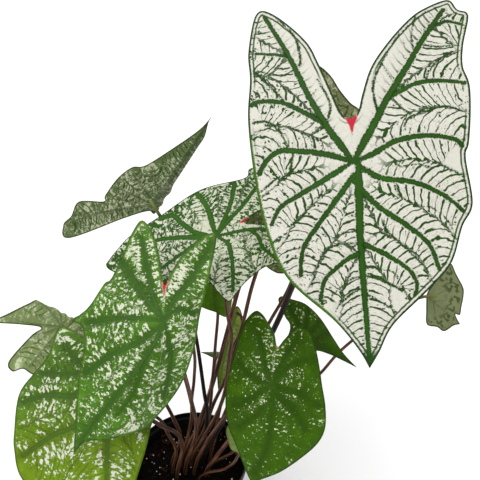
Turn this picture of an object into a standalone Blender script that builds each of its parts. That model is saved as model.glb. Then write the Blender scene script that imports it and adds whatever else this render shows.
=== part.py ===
"""Potted caladium: one potted plant with eighteen heart-shaped leaves.

Every piece is its own closed solid: the pot, the potting mix, the tuber in it, a young
shoot, and for each leaf a thin blade and the stalk that carries it. Lengths below are in
millimetres, the pot stands on z = 0 and its axis is the Z axis. The viewer's side is -Y.
"""

import bpy
import bmesh
from math import atan2, cos, pi, radians, sin, sqrt
from mathutils import Matrix, Vector

MM = 0.001

# Sides of everything that is turned, and of the round holes
TURN_SIDES = 40
HOLE_SIDES = 10

# Pot: a round black nursery pot
POT_RADIUS = 63.0
POT_HEIGHT = 109.0
POT_BASE_RADIUS = 46.0
POT_WALL = 1.3
POT_FLOOR = 2.4
POT_LIP_HEIGHT = 8.0
POT_LIP_STEP = 2.2
DRAIN_HOLES = 6
DRAIN_RADIUS = 4.0
DRAIN_CIRCLE = 33.0

# Potting mix and the tuber that the plant grows from
SEAT_GAP = 0.35
SOIL_TOP = 92.0
SOIL_BUMP = 0.9
SOIL_RINGS = 5
TUBER_RADIUS = 30.0
TUBER_HALF_HEIGHT = 13.0
TUBER_CENTRE = 66.0
HOLE_CLEARANCE = 0.45
SHOOT_FOOT = (-5.0, 30.0)
SHOOT_WIDTH = 3.4
SHOOT_HEIGHT = 14.0
SHOOT_DEPTH = 10.0

# Leaves
BLADE_THICKNESS = 0.7
STALK_GAP = 0.4
STALK_LEAD = 9.0
STALK_COLLAR = 3.0
STALK_TAPER = 0.8
STALK_STEPS = 3
OUTLINE_STEPS = 2
LARGE_LEAF = 78.0
LARGE_RINGS = (0.0, 0.12, 0.38, 0.7, 1.0)
SMALL_RINGS = (0.0, 0.15, 0.55, 1.0)

# Colours as seen, in sRGB
BLACK_PLASTIC = (0.035, 0.035, 0.035)
POTTING_MIX = (0.11, 0.075, 0.05)
TUBER_BROWN = (0.36, 0.24, 0.15)
SHOOT_GREEN = (0.42, 0.50, 0.24)
STALK_BROWN = (0.22, 0.13, 0.09)
WHITE_LEAF = (0.74, 0.78, 0.66)
FLECKED_LEAF = (0.45, 0.57, 0.31)
DARK_LEAF = (0.25, 0.39, 0.12)
OLIVE_LEAF = (0.45, 0.49, 0.33)

# Each leaf is drawn flat, in millimetres from the point where the stalk joins it, with the
# tip towards -y and the upper side facing the reader. The outline runs clockwise from the
# notch between the two basal lobes, and "tip" is the index of the pointed tip in it.
# "junction" is that point on the plant, "tip_dir" the way the tip points from there and
# "face_dir" the way the upper side faces. The sheet then falls away by "cup" across the
# midrib and by "droop" towards the tip and towards the lobes (all 1/mm), bends back at
# each fold (x, y, direction of the line, bend in degrees, radius), and ripples by "wave"
# (height, number, phase, at this radius). "stalk" holds the points between foot and blade.
LEAVES = {
    "01": {
        "look": "white",
        "junction": (130, -66, 473),
        "tip_dir": (0.07, -0.51, -0.86),
        "face_dir": (-0.1, -0.86, 0.51),
        "cup": 0.0018, "droop": (0.0022, 0.0026), "wave": (2.5, 5, 0.5, 100),
        "outline": [
            (1, 29), (6, 34), (10, 46), (17, 63), (28, 78), (43, 94), (57, 105), (77, 113),
            (83, 105), (90, 100), (82, 76), (79, 60), (81, 44), (76, 8), (73, -3), (76, -33),
            (68, -48), (59, -71), (44, -87), (20, -110), (10, -129), (3, -141), (-4, -127),
            (-19, -106), (-48, -76), (-60, -46), (-66, -9), (-68, 34), (-65, 65), (-65, 88),
            (-58, 118), (-46, 116), (-25, 90), (-17, 70), (-11, 51), (-5, 33),
        ],
        "tip": 21,
        "stalk_width": 5.6, "stalk_foot": (10.3, -3.8),
        "stalk": [
            (76, -6, 260), (91, -16, 311), (100, -26, 351), (120, -54, 434),
        ],
    },
    "02": {
        "look": "white",
        "junction": (35, -18, 393),
        "tip_dir": (-0.97, -0.09, -0.22),
        "face_dir": (-0.15, -0.51, 0.85),
        "cup": 0.001, "droop": (0.003, 0.003), "wave": (2, 4, 1, 80),
        "folds": [(38, -9, -75, 62, 4)],
        "outline": [
            (-8, 26), (-2, 36), (8, 68), (33, 53), (38, 33), (49, 16), (62, 2), (50, -7),
            (41, -13), (36, -37), (22, -68), (2, -93), (-6, -97), (-15, -88), (-27, -72),
            (-36, -44), (-50, -5), (-54, 34), (-65, 43), (-63, 77), (-36, 80), (-19, 49),
        ],
        "tip": 12,
        "stalk_width": 4.2, "stalk_foot": (0, 0),
        "stalk": [
            (37, -3, 195), (45, -6, 257), (47, -7, 279), (44, -8, 305), (41, -10, 345),
        ],
    },
    "03": {
        "look": "flecked",
        "junction": (2, -100, 368),
        "tip_dir": (-0.55, -0.53, -0.65),
        "face_dir": (-0.04, -0.76, 0.65),
        "cup": 0.001, "droop": (0.002, 0.003), "wave": (2.5, 5, 2, 80),
        "folds": [(4, 0, -90, 52, 12)],
        "outline": [
            (-15, 21), (-16, 30), (-17, 46), (-14, 61), (-11, 70), (-5, 72), (7, 47), (20, 19),
            (35, -5), (44, -34), (40, -64), (33, -75), (13, -87), (0, -97), (-2, -109),
            (-13, -92), (-30, -64), (-38, -45), (-47, -35), (-55, -36), (-53, -29), (-51, -20),
            (-52, -2), (-50, 4), (-54, 25), (-57, 38), (-57, 51), (-45, 48), (-32, 38),
        ],
        "tip": 14,
        "stalk_width": 4.6, "stalk_foot": (-5.5, -9.5),
        "stalk": [
            (11, -22, 174), (9, -32, 222), (6, -56, 286), (4, -84, 338),
        ],
    },
    "04": {
        "look": "flecked",
        "junction": (-54, -87, 307),
        "tip_dir": (0.14, -0.72, -0.68),
        "face_dir": (0.07, -0.68, 0.73),
        "cup": 0.003, "droop": (0.003, 0.002), "wave": (2.5, 4, 0.3, 80),
        "outline": [
            (2, 22), (25, 28), (40, 18), (49, -14), (37, -40), (29, -62), (14, -92),
            (-6, -114), (-41, -88), (-63, -67), (-67, -45), (-66, -31), (-62, -6), (-51, 8),
            (-39, 21), (-28, 42),
        ],
        "tip": 7,
        "stalk_width": 4.4, "stalk_foot": (-13.5, -16.1),
        "stalk": [
            (-6, -24, 166), (-23, -34, 194), (-44, -56, 243),
        ],
    },
    "05": {
        "look": "olive",
        "junction": (-118, 11, 279),
        "tip_dir": (0.72, 0.16, -0.67),
        "face_dir": (-0.48, 0.82, -0.32),
        "cup": 0, "droop": (0.002, 0.002), "wave": (2, 4, 0, 60),
        "folds": [(-3, 0, 91, -140, 6)],
        "outline": [
            (10, 16), (21, 20), (50, 24), (57, 16), (51, 9), (52, -2), (50, -30), (30, -55),
            (0, -85), (-30, -48), (-33, -10), (-27, 13), (-20, 26), (-4, 39), (17, 54),
            (27, 66), (15, 34),
        ],
        "tip": 8,
        "stalk_width": 4, "stalk_foot": (-21, 0.7),
        "stalk": [
            (-10, 3, 136), (-16, 4, 162), (-24, 3, 189), (-48, 5, 254), (-75, 11, 286),
            (-98, 9, 291),
        ],
    },
    "06": {
        "look": "olive",
        "junction": (-38, 112, 362),
        "tip_dir": (0.53, 0.49, 0.69),
        "face_dir": (-0.12, 0.85, -0.51),
        "cup": 0, "droop": (0.001, 0.002), "wave": (2, 5, 1.5, 70),
        "folds": [(-0.5, 0, -90, -145, 6)],
        "outline": [
            (1.5, 7), (15, 7), (34, -2), (40, -25), (25, -60), (4, -100), (1, -114), (-2, -96),
            (-13, -67), (-29, -32), (-40, -22), (-46, -4), (-47, 19), (-45, 25), (-66, 39),
            (-64, 56), (-65, 68), (-52, 76), (-17, 28),
        ],
        "tip": 6,
        "stalk_width": 4.4, "stalk_foot": (9.3, 5.8),
        "stalk": [
            (20, 9, 164), (17, 17, 185), (9, 46, 228), (0, 70, 268), (-11, 90, 319),
        ],
    },
    "07": {
        "look": "dark",
        "junction": (79, -79, 290),
        "tip_dir": (-0.21, -0.6, -0.77),
        "face_dir": (-0.15, -0.76, 0.63),
        "cup": 0.002, "droop": (0.004, 0.004), "wave": (1.5, 5, 0.8, 60),
        "folds": [(-2, 0, 90, 18, 15), (2, 0, -90, 18, 15)],
        "outline": [
            (0, 30), (4, 36), (9, 44), (15, 50), (25, 46), (32, 35), (38, 21), (43, 7),
            (49, -9), (52, -26), (48, -39), (37, -52), (22, -66), (8, -75), (0, -80),
            (-5, -74), (-18, -56), (-29, -41), (-36, -22), (-38, -3), (-36, 25), (-34, 44),
            (-27, 55), (-20, 54), (-13, 48), (-5, 40),
        ],
        "tip": 14,
        "stalk_width": 4.6, "stalk_foot": (17, -12.3),
        "stalk": [
            (28, -20, 128), (46, -32, 174), (66, -58, 241),
        ],
    },
    "08": {
        "look": "dark",
        "junction": (114, -10, 281),
        "tip_dir": (0.88, -0.11, -0.47),
        "face_dir": (0.34, -0.56, 0.76),
        "cup": 0.004, "droop": (0.004, 0.004), "wave": (1.5, 3, 0, 60),
        "outline": [
            (4, 15), (12, 23), (25, 34), (31, 31), (32, 22), (34, 7), (28, -11), (15, -30),
            (6, -45), (1, -62), (-0.5, -44), (-2, -29), (-6, -15), (-20, -4), (-21, 13),
        ],
        "tip": 9,
        "stalk_width": 4, "stalk_foot": (4.1, -10.2),
        "stalk": [
            (37, -17, 181), (76, -22, 234), (104, -16, 266),
        ],
    },
    "09": {
        "look": "olive",
        "junction": (239, 24, 303),
        "tip_dir": (0.44, -0.54, -0.72),
        "face_dir": (-0.26, 0.69, -0.68),
        "cup": 0.006, "droop": (0.006, 0.004), "wave": (1.5, 5, 0, 30),
        "outline": [
            (0, 5), (6, -2), (11, -9), (18, -20), (10, -27), (7, -33), (-5, -33), (-13, -35),
            (-14, -30), (-16, -25), (-20, -28), (-26, -21), (-32, -13), (-36, -6), (-39, 9),
            (-39, 19), (-32, 18), (-13, 11),
        ],
        "tip": 7,
        "stalk_width": 3.4, "stalk_foot": (20.5, -4.4),
        "stalk": [
            (47, -2, 117), (92, 4, 167), (135, 10, 216), (158, 14, 248), (196, 16, 285),
            (223, 15, 308),
        ],
    },
    "10": {
        "look": "olive",
        "junction": (51, 66, 255),
        "tip_dir": (-0.18, -0.06, -0.98),
        "face_dir": (-0.56, 0.83, 0.05),
        "cup": 0.003, "droop": (0.003, 0), "wave": (1, 3, 0, 40),
        "outline": [
            (0, 8), (6, 1), (8, -22), (11, -47), (15, -72), (13, -94), (-2, -77), (-6, -53),
            (-11, -32), (-9, -7),
        ],
        "tip": 5,
        "stalk_width": 3.4, "stalk_foot": (5.4, 20.3),
        "stalk": [
            (18, 26, 103), (35, 40, 152), (47, 52, 215),
        ],
    },
    "11": {
        "look": "dark",
        "junction": (29, 15, 349),
        "tip_dir": (-0.29, -0.62, -0.73),
        "face_dir": (0.58, -0.72, 0.38),
        "cup": 0.004, "droop": (0.004, 0.004), "wave": (1.5, 4, 0, 40),
        "outline": [
            (2, 17), (16, 27), (29, 10), (36, -16), (40, -41), (22, -42), (8, -42), (-7, -39),
            (-24, -21), (-25, 4), (-13, 16),
        ],
        "tip": 5,
        "stalk_width": 3.6, "stalk_foot": (1.1, 10.9),
        "stalk": [
            (19, 16, 146), (27, 19, 213), (30, 23, 247), (33, 28, 282), (33, 30, 314),
        ],
    },
    "12": {
        "look": "olive",
        "junction": (114, 26, 476),
        "tip_dir": (-0.2, 0.24, -0.95),
        "face_dir": (-0.15, 0.95, 0.27),
        "cup": 0.003, "droop": (0.003, 0.003), "wave": (1.5, 4, 1, 60),
        "outline": [
            (8, 22), (23, 34), (36, 40), (39, 15), (32, -16), (14, -38), (-6, -52), (-18, -40),
            (-30, -22), (-36, -2), (-36, 14), (-26, 20), (-14, 29), (-2, 40), (11, 47),
            (10, 37),
        ],
        "tip": 6,
        "stalk_width": 3.6, "stalk_foot": (20.5, 4.4),
        "stalk": [
            (55, 7, 216), (83, 8, 285), (102, 10, 329), (115, 16, 390),
        ],
    },
    "13": {
        "look": "olive",
        "junction": (95, 52, 371),
        "tip_dir": (-0.16, -0.08, -0.98),
        "face_dir": (-0.1, 0.99, -0.06),
        "cup": 0.004, "droop": (0.004, 0.004), "wave": (1.5, 4, 2, 50),
        "outline": [
            (6, 22), (20, 31), (34, 24), (40, 6), (35, -14), (22, -31), (7, -47), (-5, -53),
            (-15, -50), (-24, -31), (-31, -6), (-21, 21), (-5, 32),
        ],
        "tip": 7,
        "stalk_width": 4.4, "stalk_foot": (13.5, 16.1),
        "stalk": [
            (20, 32, 135), (41, 34, 195), (57, 33, 261), (70, 33, 323), (80, 36, 351),
        ],
    },
    "14": {
        "look": "flecked",
        "junction": (60, -76, 221),
        "tip_dir": (-0.61, 0.14, -0.78),
        "face_dir": (0.01, -0.98, -0.18),
        "cup": 0.008, "droop": (0.006, 0.006), "wave": (1, 3, 0, 25),
        "outline": [
            (-3, 13), (18, -11), (26, -32), (7, -22), (-1, -20), (-11, -11), (-20, -2),
            (-24, 7), (-19, 16),
        ],
        "tip": 2,
        "stalk_width": 3, "stalk_foot": (10.5, -18.2),
        "stalk": [
            (40, -32, 129), (53, -52, 172),
        ],
    },
    "15": {
        "look": "dark",
        "junction": (29, 66, 196),
        "tip_dir": (-0.95, -0.11, 0.29),
        "face_dir": (0.24, 0.37, 0.9),
        "cup": 0.01, "droop": (0, 0), "wave": (0.5, 3, 0, 20),
        "outline": [
            (-8, 6), (2, 5), (9, 1), (9, -6), (4, -13), (1, -19), (-6, -8), (-13, 2),
        ],
        "tip": 5,
        "stalk_width": 3, "stalk_foot": (-3.6, 20.7),
        "stalk": [
            (13, 34, 127), (23, 48, 175),
        ],
    },
    "16": {
        "look": "flecked",
        "junction": (99, 80, 379),
        "tip_dir": (0.54, -0.16, -0.83),
        "face_dir": (0.04, -0.98, 0.22),
        "cup": 0.003, "droop": (0.003, 0.003), "wave": (2, 4, 0, 70),
        "outline": [
            (-4, 18), (19, 20), (27, 3), (31, -24), (24, -57), (7, -95), (-16, -121),
            (-30, -85), (-38, -46), (-45, -15), (-45, 5), (-37, 19), (-20, 28), (-11, 29),
        ],
        "tip": 6,
        "stalk_width": 5.4, "stalk_foot": (-7.9, 7.6),
        "stalk": [
            (8, 22, 131), (26, 38, 184), (42, 50, 244), (54, 64, 289), (68, 80, 325),
        ],
    },
    "17": {
        "look": "flecked",
        "junction": (-9, -22, 332),
        "tip_dir": (-0.6, -0.46, -0.66),
        "face_dir": (0.2, -0.88, 0.43),
        "cup": 0.003, "droop": (0.003, 0.003), "wave": (2, 4, 1, 60),
        "outline": [
            (0, 15), (2, 30), (9, 32), (19, 22), (28, 1), (30, -22), (26, -49), (14, -75),
            (-5, -58), (-17, -36), (-22, -16), (-21, 2), (-13, 8),
        ],
        "tip": 7,
        "stalk_width": 3.6, "stalk_foot": (-10.9, -1.5),
        "stalk": [
            (3, 4, 159), (5, 2, 190), (9, -1, 222), (11, -5, 261), (5, -12, 301),
        ],
    },
    "18": {
        "look": "flecked",
        "junction": (-77, -52, 245),
        "tip_dir": (-0.49, -0.58, -0.65),
        "face_dir": (0.27, -0.81, 0.52),
        "cup": 0.003, "droop": (0.003, 0.003), "wave": (2, 4, 2, 60),
        "outline": [
            (3, 10), (9, 20), (20, 18), (30, 5), (32, -14), (28, -36), (20, -55), (5, -72),
            (-9, -55), (-19, -37), (-23, -17), (-21, 1), (-11, 10),
        ],
        "tip": 7,
        "stalk_width": 3.6, "stalk_foot": (-19.2, -8.5),
        "stalk": [
            (-13, -12, 132), (-19, -16, 161), (-27, -20, 188),
        ],
    },
}


def clear_scene():
    for obj in list(bpy.data.objects):
        bpy.data.objects.remove(obj, do_unlink=True)


def new_collection(name):
    collection = bpy.data.collections.new(name)
    bpy.context.scene.collection.children.link(collection)
    return collection


def linear(channel):
    if channel <= 0.04045:
        return channel / 12.92
    return ((channel + 0.055) / 1.055) ** 2.4


def make_material(name, srgb, roughness):
    material = bpy.data.materials.new(name)
    material.use_nodes = True
    shader = material.node_tree.nodes["Principled BSDF"]
    colour = [linear(channel) for channel in srgb] + [1.0]
    shader.inputs["Base Color"].default_value = colour
    shader.inputs["Roughness"].default_value = roughness
    shader.inputs["Metallic"].default_value = 0.0
    material.diffuse_color = colour
    return material


def add_object(name, data, material, collection):
    obj = bpy.data.objects.new(name, data)
    collection.objects.link(obj)
    if material is not None:
        data.materials.append(material)
    return obj


def finish_bmesh(bm, name):
    mesh = bpy.data.meshes.new(name)
    bm.to_mesh(mesh)
    bm.free()
    return mesh


def baked_mesh(obj):
    """The object's mesh with its modifiers applied."""
    bpy.context.view_layer.update()
    graph = bpy.context.evaluated_depsgraph_get()
    return bpy.data.meshes.new_from_object(obj.evaluated_get(graph), depsgraph=graph)


def lathe(name, profile, material, collection):
    """A solid turned from (radius, height) points, which run from the axis at the top
    to the axis at the bottom."""
    bm = bmesh.new()
    verts = [bm.verts.new((r * MM, 0.0, z * MM)) for r, z in profile]
    for first, second in zip(verts, verts[1:]):
        bm.edges.new((first, second))
    obj = add_object(name, finish_bmesh(bm, name), material, collection)
    screw = obj.modifiers.new("Turn", "SCREW")
    screw.axis = "Z"
    screw.steps = TURN_SIDES
    screw.render_steps = TURN_SIDES
    screw.use_merge_vertices = True
    screw.merge_threshold = 1e-5
    return obj


def cylinder(name, radius, bottom, top, centre, collection):
    bm = bmesh.new()
    bmesh.ops.create_cone(
        bm,
        cap_ends=True,
        segments=HOLE_SIDES,
        radius1=radius * MM,
        radius2=radius * MM,
        depth=(top - bottom) * MM,
    )
    obj = add_object(name, finish_bmesh(bm, name), None, collection)
    obj.location = Vector((centre[0], centre[1], (top + bottom) / 2)) * MM
    return obj


def cut(obj, tool):
    tool.hide_render = True
    tool.display_type = "WIRE"
    modifier = obj.modifiers.new("Cut " + tool.name, "BOOLEAN")
    modifier.operation = "DIFFERENCE"
    modifier.solver = "EXACT"
    modifier.object = tool


def inner_radius(z):
    """Radius of the pot's inner wall at a height."""
    share = (z - POT_FLOOR) / (POT_HEIGHT - POT_LIP_HEIGHT - POT_FLOOR)
    bottom = POT_BASE_RADIUS - POT_WALL
    top = POT_RADIUS - POT_LIP_STEP - POT_WALL
    return bottom + (top - bottom) * share


def build_pot(collection, cutters):
    lip_foot = POT_HEIGHT - POT_LIP_HEIGHT
    profile = [
        (0.0, POT_FLOOR),
        (inner_radius(POT_FLOOR), POT_FLOOR),
        (inner_radius(lip_foot), lip_foot),
        (POT_RADIUS - POT_WALL, lip_foot + 2.2),
        (POT_RADIUS - POT_WALL, POT_HEIGHT - 0.4),
        (POT_RADIUS - POT_WALL / 2, POT_HEIGHT),
        (POT_RADIUS, POT_HEIGHT - 0.6),
        (POT_RADIUS, lip_foot),
        (POT_RADIUS - POT_LIP_STEP, lip_foot - 0.8),
        (POT_BASE_RADIUS + 1.0, 6.0),
        (POT_BASE_RADIUS, 0.8),
        (POT_BASE_RADIUS - 0.8, 0.0),
        (0.0, 0.0),
    ]
    pot = lathe(
        "pot",
        profile,
        make_material("Black plastic", BLACK_PLASTIC, 0.4),
        collection,
    )
    for index in range(DRAIN_HOLES):
        angle = 2 * pi * (index + 0.3) / DRAIN_HOLES
        centre = (DRAIN_CIRCLE * cos(angle), DRAIN_CIRCLE * sin(angle))
        name = "drain_%d" % (index + 1)
        cut(pot, cylinder(name, DRAIN_RADIUS, -2.0, POT_FLOOR + 2.0, centre, cutters))
    return pot


def soil_bump(x, y):
    """Height of the uneven surface above SOIL_TOP, all in millimetres."""
    ripple = sin(x / 6.1 + 0.7) * cos(y / 7.3) + 0.6 * sin(y / 4.2 + x / 9.5 + 2.0)
    return SOIL_BUMP * ripple


def ellipsoid(name, growth, material, collection):
    bm = bmesh.new()
    bmesh.ops.create_uvsphere(bm, u_segments=20, v_segments=8, radius=1.0)
    size = Vector((TUBER_RADIUS, TUBER_RADIUS, TUBER_HALF_HEIGHT))
    size += Vector((growth, growth, growth))
    bmesh.ops.scale(bm, vec=size * MM, verts=bm.verts)
    obj = add_object(name, finish_bmesh(bm, name), material, collection)
    obj.location = (0.0, 0.0, TUBER_CENTRE * MM)
    return obj


def tuber_top(radius):
    """Height of the tuber's upper surface at a distance from the axis."""
    share = min(max(radius, 0.0) / TUBER_RADIUS, 1.0)
    return TUBER_CENTRE + TUBER_HALF_HEIGHT * sqrt(1.0 - share * share)


def build_soil(collection, cutters):
    floor = POT_FLOOR + SEAT_GAP
    edge = inner_radius(SOIL_TOP) - SEAT_GAP
    profile = [(edge * ring / SOIL_RINGS, SOIL_TOP) for ring in range(SOIL_RINGS)]
    profile += [
        (edge - 0.4, SOIL_TOP - 0.4),
        (inner_radius(SOIL_TOP - 3.0) - SEAT_GAP, SOIL_TOP - 3.0),
        (inner_radius(floor) - SEAT_GAP, floor),
        (0.0, floor),
    ]
    turned = lathe("soil_turned", profile, None, cutters)
    mesh = baked_mesh(turned)
    bpy.data.objects.remove(turned, do_unlink=True)
    for vertex in mesh.vertices:
        x, y, z = vertex.co / MM
        if z > SOIL_TOP - 0.1:
            vertex.co.z += soil_bump(x, y) * MM
    bm = bmesh.new()
    bm.from_mesh(mesh)
    bmesh.ops.triangulate(bm, faces=bm.faces)
    soil = add_object(
        "soil",
        finish_bmesh(bm, "soil"),
        make_material("Potting mix", POTTING_MIX, 0.95),
        collection,
    )
    cut(soil, ellipsoid("tuber_space", HOLE_CLEARANCE, None, cutters))
    top = SOIL_TOP + 6.0
    for name, leaf in LEAVES.items():
        radius = leaf["stalk_width"] / 2 + HOLE_CLEARANCE
        tool = cylinder("hole_" + name, radius, TUBER_CENTRE, top, leaf["stalk_foot"], cutters)
        cut(soil, tool)
    bottom = SOIL_TOP - SHOOT_DEPTH - HOLE_CLEARANCE
    radius = SHOOT_WIDTH / 2 + HOLE_CLEARANCE
    cut(soil, cylinder("hole_shoot", radius, bottom, top, SHOOT_FOOT, cutters))
    return soil


def tube(name, points, widths, steps, material, collection):
    """A round stalk on a smooth curve, closed at both ends. It is straight up to its
    second point, where it leaves the soil."""
    curve = bpy.data.curves.new(name, "CURVE")
    curve.dimensions = "3D"
    curve.resolution_u = steps
    curve.bevel_depth = 0.5 * MM
    curve.bevel_resolution = 1
    curve.use_fill_caps = True
    spline = curve.splines.new("BEZIER")
    spline.bezier_points.add(len(points) - 1)
    for knot, point, width in zip(spline.bezier_points, points, widths):
        knot.co = Vector(point) * MM
        knot.radius = width
        knot.handle_left_type = "AUTO"
        knot.handle_right_type = "AUTO"
    spline.bezier_points[0].handle_right_type = "VECTOR"
    spline.bezier_points[1].handle_left_type = "VECTOR"
    obj = add_object(name + "_curve", curve, None, collection)
    mesh = baked_mesh(obj)
    bpy.data.objects.remove(obj, do_unlink=True)
    bm = bmesh.new()
    bm.from_mesh(mesh)
    bmesh.ops.remove_doubles(bm, verts=bm.verts, dist=1e-6)
    bmesh.ops.recalc_face_normals(bm, faces=bm.faces)
    return add_object(name, finish_bmesh(bm, name), material, collection)


def build_shoot(collection):
    x, y = SHOOT_FOOT
    points = [
        (x, y, SOIL_TOP - SHOOT_DEPTH),
        (x, y, SOIL_TOP + 1.0),
        (x + 0.5, y - 0.5, SOIL_TOP + 0.6 * SHOOT_HEIGHT),
        (x + 1.5, y - 1.0, SOIL_TOP + SHOOT_HEIGHT),
    ]
    widths = [SHOOT_WIDTH, SHOOT_WIDTH, 0.8 * SHOOT_WIDTH, 0.25 * SHOOT_WIDTH]
    material = make_material("Young shoot", SHOOT_GREEN, 0.5)
    return tube("shoot", points, widths, 2, material, collection)


def leaf_matrix(leaf):
    """Flat leaf coordinates to the plant: x to the right, y away from the tip, z up
    out of the upper side."""
    y_axis = -Vector(leaf["tip_dir"]).normalized()
    face = Vector(leaf["face_dir"])
    z_axis = (face - face.dot(y_axis) * y_axis).normalized()
    x_axis = y_axis.cross(z_axis)
    matrix = Matrix((x_axis, y_axis, z_axis)).transposed().to_4x4()
    matrix.translation = Vector(leaf["junction"]) * MM
    return matrix


def fold_shift(x, y, fold):
    """How far a fold moves a point of the flat leaf: (x, y, z)."""
    px, py, direction, bend, radius = fold
    across = (-sin(radians(direction)), cos(radians(direction)))
    beyond = (x - px) * across[0] + (y - py) * across[1]
    if beyond <= 0.0:
        return 0.0, 0.0, 0.0
    angle = radians(abs(bend))
    turned = min(beyond / radius, angle)
    straight = beyond - radius * turned
    along = radius * sin(turned) + straight * cos(turned)
    fall = radius * (1.0 - cos(turned)) + straight * sin(turned)
    shift = along - beyond
    return across[0] * shift, across[1] * shift, -fall if bend > 0 else fall


def leaf_surface(leaf, x, y):
    """The point of the shaped upper side for a point of the flat leaf."""
    tip_droop, lobe_droop = leaf["droop"]
    droop = tip_droop if y < 0 else lobe_droop
    z = -(leaf["cup"] * x * x + droop * y * y) / 2
    height, number, phase, at_radius = leaf["wave"]
    share = min((x * x + y * y) / at_radius**2, 1.5)
    z += height * share * sin(number * atan2(y, x) + phase)
    shaped = Vector((x, y, z))
    for fold in leaf.get("folds", []):
        shaped += Vector(fold_shift(x, y, fold))
    return shaped


def leaf_margin(leaf):
    """The outline as a smooth closed curve with a sharp tip."""
    points = [Vector(point) for point in leaf["outline"]]
    count = len(points)
    margin = []
    for index in range(count):
        before = points[index - 1]
        start = points[index]
        end = points[(index + 1) % count]
        after = points[(index + 2) % count]
        if index == leaf["tip"]:
            before = start
        if (index + 1) % count == leaf["tip"]:
            after = end
        for step in range(OUTLINE_STEPS):
            t = step / OUTLINE_STEPS
            linear_part = 2 * start + (end - before) * t
            square = (2 * before - 5 * start + 4 * end - after) * t**2
            cube = (3 * start - before - 3 * end + after) * t**3
            margin.append((linear_part + square + cube) / 2)
    return margin


def build_blade(name, leaf, material, collection):
    """A grid rolled into rings round the stalk's junction, then given its thickness."""
    margin = leaf_margin(leaf)
    rays = len(margin)
    reach = max(point.length for point in margin)
    shares = LARGE_RINGS if reach > LARGE_LEAF else SMALL_RINGS
    rings = len(shares) - 1
    bm = bmesh.new()
    bmesh.ops.create_grid(bm, x_segments=rays, y_segments=rings, size=1.0)
    for vertex in bm.verts:
        ray = round((vertex.co.x + 1.0) / 2.0 * rays) % rays
        ring = round((vertex.co.y + 1.0) / 2.0 * rings)
        x, y = margin[ray] * shares[ring]
        vertex.co = leaf_surface(leaf, x, y) * MM
    bmesh.ops.remove_doubles(bm, verts=bm.verts, dist=1e-6)
    bmesh.ops.triangulate(bm, faces=bm.faces)
    blade = add_object(name, finish_bmesh(bm, name), material, collection)
    blade.matrix_world = leaf_matrix(leaf)
    solidify = blade.modifiers.new("Thickness", "SOLIDIFY")
    solidify.thickness = BLADE_THICKNESS * MM
    solidify.offset = -1.0
    return blade


def build_stalk(name, leaf, material, collection):
    x, y = leaf["stalk_foot"]
    width = leaf["stalk_width"]
    foot = tuber_top(sqrt(x * x + y * y) - width / 2) + SEAT_GAP
    up = leaf_matrix(leaf).to_3x3().col[2]
    junction = Vector(leaf["junction"])
    end = junction - up * (BLADE_THICKNESS + STALK_GAP)
    points = [(x, y, foot), (x, y, SOIL_TOP + STALK_COLLAR)]
    points += leaf["stalk"]
    points += [end - up * STALK_LEAD, end]
    last = len(points) - 1
    widths = [width * (1.0 - (1.0 - STALK_TAPER) * index / last) for index in range(last + 1)]
    return tube(name, points, widths, STALK_STEPS, material, collection)


def build_leaves(collection):
    stalk_material = make_material("Stalk", STALK_BROWN, 0.5)
    blade_materials = {
        "white": make_material("White leaf", WHITE_LEAF, 0.5),
        "flecked": make_material("Flecked leaf", FLECKED_LEAF, 0.45),
        "dark": make_material("Dark leaf", DARK_LEAF, 0.4),
        "olive": make_material("Olive leaf back", OLIVE_LEAF, 0.6),
    }
    for number, leaf in LEAVES.items():
        material = blade_materials[leaf["look"]]
        build_blade("leaf_%s_blade" % number, leaf, material, collection)
        build_stalk("leaf_%s_stalk" % number, leaf, stalk_material, collection)


def main():
    clear_scene()
    plant = new_collection("Potted caladium")
    cutters = new_collection("Cutters")
    build_pot(plant, cutters)
    build_soil(plant, cutters)
    ellipsoid("tuber", 0.0, make_material("Tuber", TUBER_BROWN, 0.8), plant)
    build_shoot(plant)
    build_leaves(plant)


main()
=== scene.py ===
"""Looks of the potted caladium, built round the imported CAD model.

The leaves are made again from the same numbers as the CAD blades, on a fine mesh. Each point
of that mesh carries its place in the flat leaf, its distance from the veins and its distance
along them, and the leaf materials draw veins, net and flecks from those. Lengths in the data
are millimetres.
"""

from math import atan2, cos, hypot, pi, radians, sin, sqrt

import bmesh
import bpy
import numpy as np
from mathutils import Euler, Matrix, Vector, noise
from mathutils.geometry import delaunay_2d_cdt

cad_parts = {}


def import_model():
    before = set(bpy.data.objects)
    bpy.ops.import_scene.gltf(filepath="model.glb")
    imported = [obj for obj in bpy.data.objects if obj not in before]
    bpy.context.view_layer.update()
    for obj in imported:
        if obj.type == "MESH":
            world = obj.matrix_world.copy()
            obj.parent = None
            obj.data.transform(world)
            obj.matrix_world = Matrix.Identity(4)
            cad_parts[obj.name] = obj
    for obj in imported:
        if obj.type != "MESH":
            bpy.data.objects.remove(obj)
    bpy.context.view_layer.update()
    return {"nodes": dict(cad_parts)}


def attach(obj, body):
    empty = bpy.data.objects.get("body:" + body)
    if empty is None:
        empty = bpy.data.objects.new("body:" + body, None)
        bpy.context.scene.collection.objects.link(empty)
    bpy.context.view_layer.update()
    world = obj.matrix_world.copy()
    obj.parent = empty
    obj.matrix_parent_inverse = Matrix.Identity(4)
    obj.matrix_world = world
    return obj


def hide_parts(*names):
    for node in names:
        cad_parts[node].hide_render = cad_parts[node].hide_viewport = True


MM = 0.001

# Camera: measured from the rim of the pot in the photograph, which is 480 pixels wide
PHOTO_SIZE = 480
FOCAL_PIXELS = 515.0
CAMERA_PITCH = 28.0
CAMERA_PLACE = (55.0, -391.0, 587.0)
SENSOR_WIDTH = 36.0

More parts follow.
